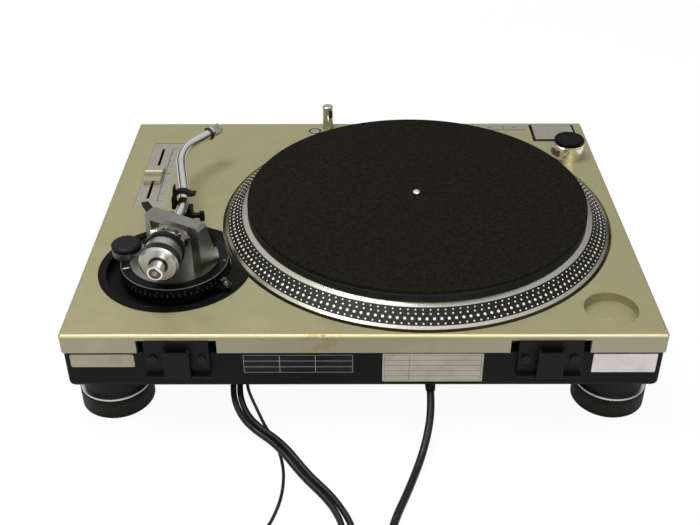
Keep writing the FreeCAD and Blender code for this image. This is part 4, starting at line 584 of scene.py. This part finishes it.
# Slipmat: a thick disc of pressed black wool felt with a hole for the spindle. It lies loose on the rubber
# mat, and its nap is worn a little.
felt, sockets, place = finish("felt", (0.011, 0.0105, 0.008), 0.95, shine=0.02)
fibres = place.noise(950, 4, 0.75)
tufts = place.noise(230, 5, 0.7)
worn = place.noise(16, 4, 0.6).within(0.35, 0.75)
shade = (fibres * 0.55 + tufts * 0.45).within(0.3, 0.72)
tone = shade.blend((0.003, 0.0028, 0.002), (0.022, 0.0205, 0.015))
feed((worn * 0.4).blend(tone, (0.011, 0.0105, 0.008)), sockets["Base Color"])
feed((fibres + tufts * 1.6).bump(0.0009, 0.6), sockets["Normal"])
felt_profile = [(3.85, 106.0), (60, 106.0), (145.6, 106.0), (146.1, 106.5), (146.2, 107.4), (145.9, 108.5),
                (145.0, 109.0), (120, 109.0), (90, 109.0), (60, 109.0), (30, 109.0), (8, 109.0), (4.4, 108.9),
                (3.85, 108.3)]
felt_disc = spun(felt_profile, 240, closed=True)
felt_place = Matrix.Translation((axis_x, axis_y, 0))
slipmat = piece("slipmat_felt", gathered([(felt_disc, felt_place)]), "slipmat", felt)
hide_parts("slipmat")

# Spindle: a ground steel pin with a rounded tip, pressed into the platter's hub. It stands up through the
# slipmat.
steel, sockets, place = finish("ground_steel", (0.66, 0.66, 0.66), 0.22, 1.0)
feed(place.noise(900, 2).within(0.3, 0.8) * 0.1 + 0.16, sockets["Roughness"])
dress("spindle", steel)

# Tonearm base: a black die-cast dish. The ring that turns in it to set the height has a painted highlight line round
# its top edge, white strokes and a scale of plain numbers on its wall.
arm_pivot = Vector((0.1518, 0.083, 0.1195))
ring_wall = 0.0441
satin_black, sockets, place = finish("satin_black", (0.0035, 0.0035, 0.003), 0.4, shine=0.05)
feed(place.noise(140, 4).within(0.35, 0.8) * 0.15 + 0.3, sockets["Roughness"])
feed(place.noise(2600, 1).bump(0.00004, 0.3), sockets["Normal"])
dress("arm_base", satin_black)

ring_black, sockets, place = finish("ring_black", (0.004, 0.004, 0.004), 0.34, shine=0.08)
x, y, z = place.split()
out_x = x - arm_pivot.x
out_y = y - arm_pivot.y
reach = (out_x * out_x + out_y * out_y).math("SQRT")
# A thin pale line round the ring's top edge is a painted highlight.
painted_rim_highlight = reach.within(0.0427, 0.0428) * z.within(0.0944, 0.0945)
strokes = (out_y.math("ARCTAN2", out_x) * (180 / pi) / 6).math("FRACT").within(0.09, 0.07)
scale = strokes * z.within(0.0884, 0.0886) * z.within(0.0905, 0.0903) * reach.within(0.0438, 0.0439)
scale = scale * out_y.within(0.005, 0.006)
strokes_and_painted_highlight = (painted_rim_highlight * 0.3).math("MAXIMUM", scale * 0.25)
feed(strokes_and_painted_highlight.blend((0.004, 0.004, 0.004), (0.5, 0.49, 0.45)), sockets["Base Color"])
feed(place.noise(140, 4).within(0.35, 0.8) * 0.15 + 0.28, sockets["Roughness"])
dress("height_ring", ring_black)

gloss_black, sockets, place = finish("gloss_black", (0.004, 0.004, 0.005), 0.12, coat=0.4, shine=0.4)
feed(place.noise(60, 3).within(0.4, 0.8) * 0.12 + 0.08, sockets["Roughness"])
dress("lock_lever", gloss_black)

ink_white, sockets, place = finish("white_print", (0.62, 0.61, 0.57), 0.55)
feed(place.noise(1500, 2).within(0.35, 0.6).blend((0.4, 0.39, 0.36), (0.64, 0.63, 0.6)), sockets["Base Color"])
ink_faint, sockets, place = finish("faint_print", (0.09, 0.09, 0.12), 0.5)
feed(place.noise(1500, 2).within(0.35, 0.6).blend((0.06, 0.06, 0.08), (0.1, 0.1, 0.13)), sockets["Base Color"])
ink_dark, sockets, place = finish("dark_print", (0.02, 0.018, 0.014), 0.5)
ink = place.noise(1500, 2).within(0.35, 0.6)
feed(ink.blend((0.035, 0.032, 0.025), (0.015, 0.014, 0.011)), sockets["Base Color"])


def number(text, height, depth=0.03):
    """A plain printed number about its own middle, in mm, facing Z."""
    lettering = bpy.data.curves.new("number", "FONT")
    lettering.body = text
    lettering.size = height / 1000
    lettering.align_x = "CENTER"
    lettering.align_y = "CENTER"
    lettering.extrude = depth / 1000
    lettering.resolution_u = 2
    holder = bpy.data.objects.new("number", lettering)
    mesh = holder.to_mesh()
    shape = ([vertex.co.copy() for vertex in mesh.vertices], [tuple(polygon.vertices) for polygon in mesh.polygons])
    holder.to_mesh_clear()
    bpy.data.objects.remove(holder)
    return shape


def bar(width, length, low=-0.03, high=0.03):
    """A printed stroke or thin plate about its own middle, in mm."""
    return rounded_box(width, length, low, high, min(width, length) * 0.2, 1)


ring_marks = []
for step in range(7):
    turn = radians(52 + 14 * step)
    outward = Vector((cos(turn), sin(turn), 0.12)).normalized()
    spot = Vector((arm_pivot.x + ring_wall * cos(turn), arm_pivot.y + ring_wall * sin(turn), 0.0921))
    ring_marks.append((number(str(step), 2.2), facing(spot, outward, Vector((-sin(turn), cos(turn), 0)))))
piece("height_marks", gathered(ring_marks), "height_ring", ink_faint)
pointers = []
for turn, out, width, length in ((177, 40.5, 0.5, 2.4), (20, 39.2, 1.3, 5.2)):
    angle = radians(turn)
    spot = Vector((arm_pivot.x + out / 1000 * cos(angle), arm_pivot.y + out / 1000 * sin(angle), 0.09502))
    pointers.append((bar(width, length), Matrix.Translation(spot) @ Matrix.Rotation(angle - pi / 2, 4, "Z")))
piece("height_pointers", gathered(pointers), "height_ring", ink_white)

# Pedestal and arch: satin silver castings that carry the arm's bearings. The arch is screwed to the
# pedestal, which rises and sinks in the height ring.
satin_silver, sockets, place = finish("satin_silver", (0.32, 0.32, 0.295), 0.34, 1.0)
grain = place.noise(1900, 2)
feed(place.noise(45, 4).within(0.3, 0.75).blend((0.28, 0.28, 0.25), (0.22, 0.22, 0.19)), sockets["Base Color"])
feed(grain * 0.12 + 0.28, sockets["Roughness"])
feed(grain.bump(0.00006, 0.3), sockets["Normal"])
dress("arm_pedestal", satin_silver)
dress("arm_bridge", satin_silver)

# Arm: a bright plated S-shaped tube in a ring gimbal, with a knurled lock collar for the headshell, which
# starts with a black ring. The gimbal's bearing cups stand out at its sides.
arm_ahead = Vector((-0.0802, -0.9968, 0.014)).normalized()
arm_side = Vector((0.9968, -0.0802, 0))
arm_up = arm_side.cross(arm_ahead)
arm_level = Vector((-0.0802, -0.9968, 0))


def along_from(place_parts, direction, origin):
    """How far a place lies along a direction from an origin."""
    x, y, z = place_parts
    return x * direction.x + y * direction.y + z * direction.z - origin.dot(direction)


tube_plate, sockets, place = finish("tube_plate", (0.7, 0.69, 0.65), 0.14, 1.0)
parts = place.split()
behind = along_from(parts, -arm_ahead, arm_pivot)
off_side = along_from(parts, arm_side, arm_pivot)
off_up = along_from(parts, arm_up, arm_pivot)
off = (off_side * off_side + off_up * off_up).math("SQRT")
shaft_end = behind.within(0.0552, 0.0554) * off.within(0.0049, 0.0047) * off.within(0.0017, 0.0019)
shaft_end = shaft_end * (off_up + off_side).within(-0.0052, -0.005)
feed(shaft_end.blend((0.7, 0.69, 0.65), (0.1, 0.065, 0.035)), sockets["Base Color"])
feed(1 - shaft_end * 0.8, sockets["Metallic"])
feed(place.noise(220, 3).within(0.35, 0.8) * 0.12 + 0.1 + shaft_end * 0.3, sockets["Roughness"])
dress("arm_tube", tube_plate)
bearing_bright, sockets, place = finish("bearing_bright", (0.8, 0.77, 0.66), 0.24, 0.45)
feed(place.noise(300, 3).within(0.35, 0.8) * 0.12 + 0.18, sockets["Roughness"])
dress("gimbal_ring", bearing_bright)
cup = spun([(0, 0), (3.6, 0), (3.8, 0.3), (3.8, 2.2), (3.2, 2.5), (3.2, 4.6), (2.9, 4.9), (1.4, 4.9), (1.2, 4.4),
            (0, 4.4)], 32)
cup_start = 0.0117
cups = [(cup, facing(arm_pivot + arm_side * cup_start * side, arm_side * side)) for side in (-1, 1)]
piece("bearing_cups", gathered(cups), "gimbal", bearing_bright)

collar_start = arm_pivot + arm_level * 0.1695 + arm_side * 0.0042 + Vector((0, 0, 0.0024))
collar_way = (arm_level * 25.5 - arm_side * 15.6).normalized()
collar_metal, sockets, place = finish("collar_metal", (0.6, 0.58, 0.52), 0.22, 1.0)
parts = place.split()
onward = along_from(parts, collar_way, collar_start)
across = along_from(parts, collar_way.cross(Vector((0, 0, 1))), collar_start)
turn = along_from(parts, Vector((0, 0, 1)), collar_start).math("ARCTAN2", across)
black_ring = onward.within(0.0012, 0.0011)
knurl = (turn * 26).math("SINE") * onward.within(0.0045, 0.0047) * onward.within(0.0128, 0.0126)
feed(black_ring.blend((0.6, 0.58, 0.52), (0.006, 0.006, 0.006)), sockets["Base Color"])
feed(1 - black_ring * 0.95, sockets["Metallic"])
feed(black_ring * 0.2 + 0.2, sockets["Roughness"])
feed(knurl.bump(0.0004, 0.7), sockets["Normal"])
dress("lock_collar", collar_metal)
dress("arm_wire", rubber_black)

# Counterweight: turned silver with a knurled black grip ring, and a painted shadow round the shaft on its end face.
# A black dial with plain strokes turns on its front. The small black controls near it have the same finish.
weight_silver, sockets, place = finish("weight_silver", (0.44, 0.44, 0.4), 0.24, 1.0)
parts = place.split()
behind = along_from(parts, -arm_ahead, arm_pivot)
off_up = along_from(parts, arm_up, arm_pivot)
off_side = along_from(parts, arm_side, arm_pivot)
off = (off_up * off_up + off_side * off_side).math("SQRT")
# A dark disc round the shaft on the end face is painted shadow.
painted_hub_shadow = behind.within(0.0445, 0.0447) * off.within(0.0078, 0.0073)
turn = off_up.math("ARCTAN2", off_side)
grip = behind.within(0.0366, 0.0368) * behind.within(0.0434, 0.0432)
knurl = (turn * 60 + behind * 3000).math("SINE").math("MAXIMUM", (turn * 60 - behind * 3000).math("SINE"))
grip_and_painted_shadow = grip + painted_hub_shadow
feed(grip_and_painted_shadow.blend((0.44, 0.44, 0.4), (0.008, 0.008, 0.007)), sockets["Base Color"])
feed(1 - grip_and_painted_shadow * 0.95, sockets["Metallic"])
feed(grip * 0.15 + 0.3, sockets["Roughness"])
feed((knurl * grip).bump(0.0005, 0.8), sockets["Normal"])
sockets["Specular IOR Level"].default_value = 0.3
dress("counterweight", weight_silver)

matt_black, sockets, place = finish("matt_black", (0.005, 0.005, 0.005), 0.5, shine=0.14)
feed(place.noise(800, 2).bump(0.00008, 0.3), sockets["Normal"])
feed(place.noise(50, 4).within(0.3, 0.8) * 0.15 + 0.42, sockets["Roughness"])
for name in ("weight_dial", "antiskate_knob", "lift_bar", "arm_clip", "cue_lever", "arm_rest", "cue_bracket"):
    dress(name, matt_black)

dial_marks = []
for step in range(20):
    turn = radians(18 * step)
    outward = (arm_up * cos(turn) + arm_side * sin(turn)).normalized()
    spot = arm_pivot - arm_ahead * (0.0219 if step % 2 else 0.0215) + outward * 0.0159
    mark = bar(0.28, 1.4 if step % 2 else 2.2)
    dial_marks.append((mark, facing(spot, outward, outward.cross(arm_ahead))))
piece("dial_marks", gathered(dial_marks), "weight_dial", ink_white)
knob_x, knob_y, knob_top = 0.1913, 0.0753, 0.1062
knob_marks = []
for step in range(8):
    turn = radians(30 + 42.5 * step)
    spot = Vector((knob_x + 0.0088 * cos(turn), knob_y + 0.0088 * sin(turn), knob_top))
    knob_marks.append((number(str(step), 2.0), Matrix.Translation(spot) @ Matrix.Rotation(turn - pi / 2, 4, "Z")))
piece("antiskate_marks", gathered(knob_marks), "antiskate_knob", ink_faint)

# Controls: a brushed scale plate with plain numbers, its slider, silver buttons with rounded edges,
# a pop-up lamp with a dark window, and the power knob on its post.
brushed, sockets, place = finish("brushed_plate", (0.42, 0.41, 0.36), 0.34, 0.9)
x, y, z = place.split()
lines = (x * 5200).joined(y * 60, z * 60).noise(1.0, 3, 0.6)
feed(lines.within(0.3, 0.7).blend((0.36, 0.345, 0.29), (0.47, 0.455, 0.39)), sockets["Base Color"])
feed(lines * 0.2 + 0.24, sockets["Roughness"])
feed(lines.bump(0.00003, 0.4), sockets["Normal"])
for name in ("pitch_panel", "start_button", "speed_button_slow", "speed_button_fast", "lamp_button"):
    dress(name, brushed)
scale_line = 0.1846
scale_middle = -0.0744
scale_step = 0.01278
scale_top = 0.08672
scale_marks = []
for step in range(-4, 5):
    y = scale_middle + step * scale_step
    wide = 2.2 if step else 4.6
    spot = Vector((scale_line - (wide / 2000 + (0 if step else 0.0004)), y, scale_top))
    scale_marks.append((bar(wide, 0.6 if step else 1.1), Matrix.Translation(spot)))
    if step:
        scale_marks.append((number(str(abs(step) * 2), 2.6), Matrix.Translation((0.1801, y, scale_top))))
scale_marks.append((bar(0.6, 102.2), Matrix.Translation((scale_line, scale_middle, scale_top - 0.00001))))
piece("pitch_scale", gathered(scale_marks), "case", ink_dark)
for text, x, speed in (("33", -0.1564, "slow"), ("45", -0.132, "fast")):
    at = Matrix.Translation((x, -0.1678, 0.08822))
    piece(f"speed_{speed}_mark", gathered([(number(text, 4.2), at)]), f"speed_button_{speed}",
          ink_dark)

warm_silver, sockets, place = finish("warm_silver", (0.8, 0.75, 0.62), 0.22, 1.0)
feed(place.noise(500, 3).within(0.3, 0.75) * 0.14 + 0.16, sockets["Roughness"])
dress("power_post", warm_silver)
slider_metal, sockets, place = finish("slider_metal", (0.5, 0.46, 0.35), 0.26, 1.0)
feed(place.noise(500, 3).within(0.3, 0.75) * 0.14 + 0.2, sockets["Roughness"])
dress("slider_knob", slider_metal)
band_place = Matrix.Translation((0.1939, -0.0685, 0))
slider_band = gathered([(rounded_box(15.9, 2.2, 92.5, 92.9, 0.4, 2, 0.15), band_place)])
piece("slider_band", slider_band, "slider_knob", bearing_bright)
lamp_metal, sockets, place = finish("lamp_metal", (0.5, 0.49, 0.44), 0.24, 1.0)
x, y, z = place.split()
window = z.within(0.0988, 0.099) * z.within(0.1066, 0.1064) * (x - 0.033).within(-0.0012, -0.0014)
window = window * y.within(-0.1692, -0.169)
feed(window.blend((0.5, 0.49, 0.44), (0.01, 0.01, 0.01)), sockets["Base Color"])
feed(1 - window * 0.95, sockets["Metallic"])
feed(place.noise(240, 3).within(0.3, 0.8) * 0.14 + 0.18, sockets["Roughness"])
dress("target_lamp", lamp_metal)
dress("power_knob", satin_black)
red_glass, sockets, place = finish("red_window", (0.13, 0.07, 0.05), 0.25, coat=0.3)
feed(place.noise(900, 2).bump(0.0001, 0.3), sockets["Normal"])
dress("strobe_window", red_glass)

# Hinge sockets in the back wall: black mouldings that take the blades of a lid. Black screws with crossed
# slots hold them and the bottom cover.
socket_middle = 0.1396
screw_side = 0.0182
screw_level = 0.066
dress("hinge_socket_left", matt_black)
dress("hinge_socket_right", matt_black)
screw_black, sockets, place = finish("screw_black", (0.01, 0.01, 0.01), 0.4, 0.2, shine=0.2)
x, y, z = place.split()
off_x = ((x.math("ABSOLUTE") - socket_middle).math("ABSOLUTE") - screw_side).math("ABSOLUTE")
off_z = (z - screw_level).math("ABSOLUTE")
arms = (off_x.within(0.0006, 0.0005) * off_z.within(0.0022, 0.0021)).math(
    "MAXIMUM", off_z.within(0.0006, 0.0005) * off_x.within(0.0022, 0.0021))
out = (off_x * off_x + off_z * off_z).math("SQRT")
# The crossed slots, and a thin ring round the edge of each head, are painted near black: painted shade in the slots
# and round the head. The same mask also bumps them in.
slot_shade_and_depth = arms.math("MAXIMUM", out.within(0.0026, 0.0028) * out.within(0.0032, 0.003) * 0.5)
feed(slot_shade_and_depth.blend((0.012, 0.012, 0.012), (0.001, 0.001, 0.001)), sockets["Base Color"])
feed((1 - slot_shade_and_depth).bump(0.0008, 0.9), sockets["Normal"])
dress("case_screws", screw_black)

# Blank plates at the back: a black rating plate with a thin ruled frame, a silver data plate, a pale label
# with a ruled table, and a small paper sticker.
plate_black, sockets, place = finish("plate_black", (0.004, 0.004, 0.004), 0.3, shine=0.16)
x, y, z = place.split()


def ruled(x, z, lines_across, lines_up, box, half=0.00016):
    """1 on thin lines: levels across the box, uprights in it, and its own frame, all in metres."""
    left, right, low, high = box
    inside = x.within(left - half, left) * x.within(right + half, right)
    inside = inside * z.within(low - half, low) * z.within(high + half, high)
    drawn = None
    for level in (low, high, *lines_across):
        line = (z - level).math("ABSOLUTE").within(half * 1.3, half)
        drawn = line if drawn is None else drawn.math("MAXIMUM", line)
    for side in (left, right, *lines_up):
        drawn = drawn.math("MAXIMUM", (x - side).math("ABSOLUTE").within(half * 1.3, half))
    return drawn * inside


frame_box = (0.0082, 0.0903, 0.0512, 0.0678)
frame_lines = ruled(x, z, (0.0622, 0.0566), (0.0362, 0.0632), frame_box)
feed(frame_lines.blend((0.005, 0.005, 0.005), (0.34, 0.34, 0.32)), sockets["Base Color"])
feed(place.noise(80, 3).within(0.3, 0.8) * 0.15 + 0.25, sockets["Roughness"])
dress("rating_panel", plate_black)


plate_back = 0.1723


def back_plate(name, left, right, low, high, corner, material):
    """A thin plate with rounded corners stuck on the back of the base, its edges given in mm."""
    shape = rounded_box(right - left, high - low, -0.3, 0.3, corner, 6, 0.08)
    spot = ((left + right) / 2000, plate_back, (low + high) / 2000)
    at = Matrix.Translation(spot) @ Matrix.Rotation(-pi / 2, 4, "X")
    made = piece(name, gathered([(shape, at)]), "case", material)
    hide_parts("rear_labels")


data_silver, sockets, place = finish("data_plate", (0.34, 0.31, 0.22), 0.4, 0.4)
feed(place.noise(60, 4).within(0.35, 0.8).blend((0.34, 0.31, 0.22), (0.28, 0.25, 0.17)), sockets["Base Color"])
back_plate("data_plate", 172.4, 220.6, 56.5, 68.5, 1.6, data_silver)
paper, sockets, place = finish("label_paper", (0.42, 0.4, 0.33), 0.6)
x, y, z = place.split()
table = ruled(x, z, (0.0628, 0.0577, 0.0526, 0.0475), (-0.0345,), (-0.0888, -0.0158, 0.0435, 0.0676), 0.0002)
faded = place.noise(60, 4).within(0.35, 0.8).blend((0.41, 0.385, 0.315), (0.33, 0.305, 0.235))
feed((table * 0.75).blend(faded, (0.05, 0.047, 0.04)), sockets["Base Color"])
back_plate("ruled_label", -90.3, -14.3, 42.0, 69.0, 0.8, paper)
sticker_paper, sockets, place = finish("sticker_paper", (0.6, 0.54, 0.52), 0.55)
x, y, z = place.split()
table = ruled(x, z, (), (), (-0.218, -0.175, 0.0535, 0.0536), 0.00015)
faded = place.noise(70, 4).within(0.35, 0.8).blend((0.66, 0.61, 0.59), (0.55, 0.49, 0.46))
feed((table * 0.6).blend(faded, (0.3, 0.05, 0.05)), sockets["Base Color"])
back_plate("paper_sticker", -220.6, -172.4, 51.0, 68.5, 0.6, sticker_paper)
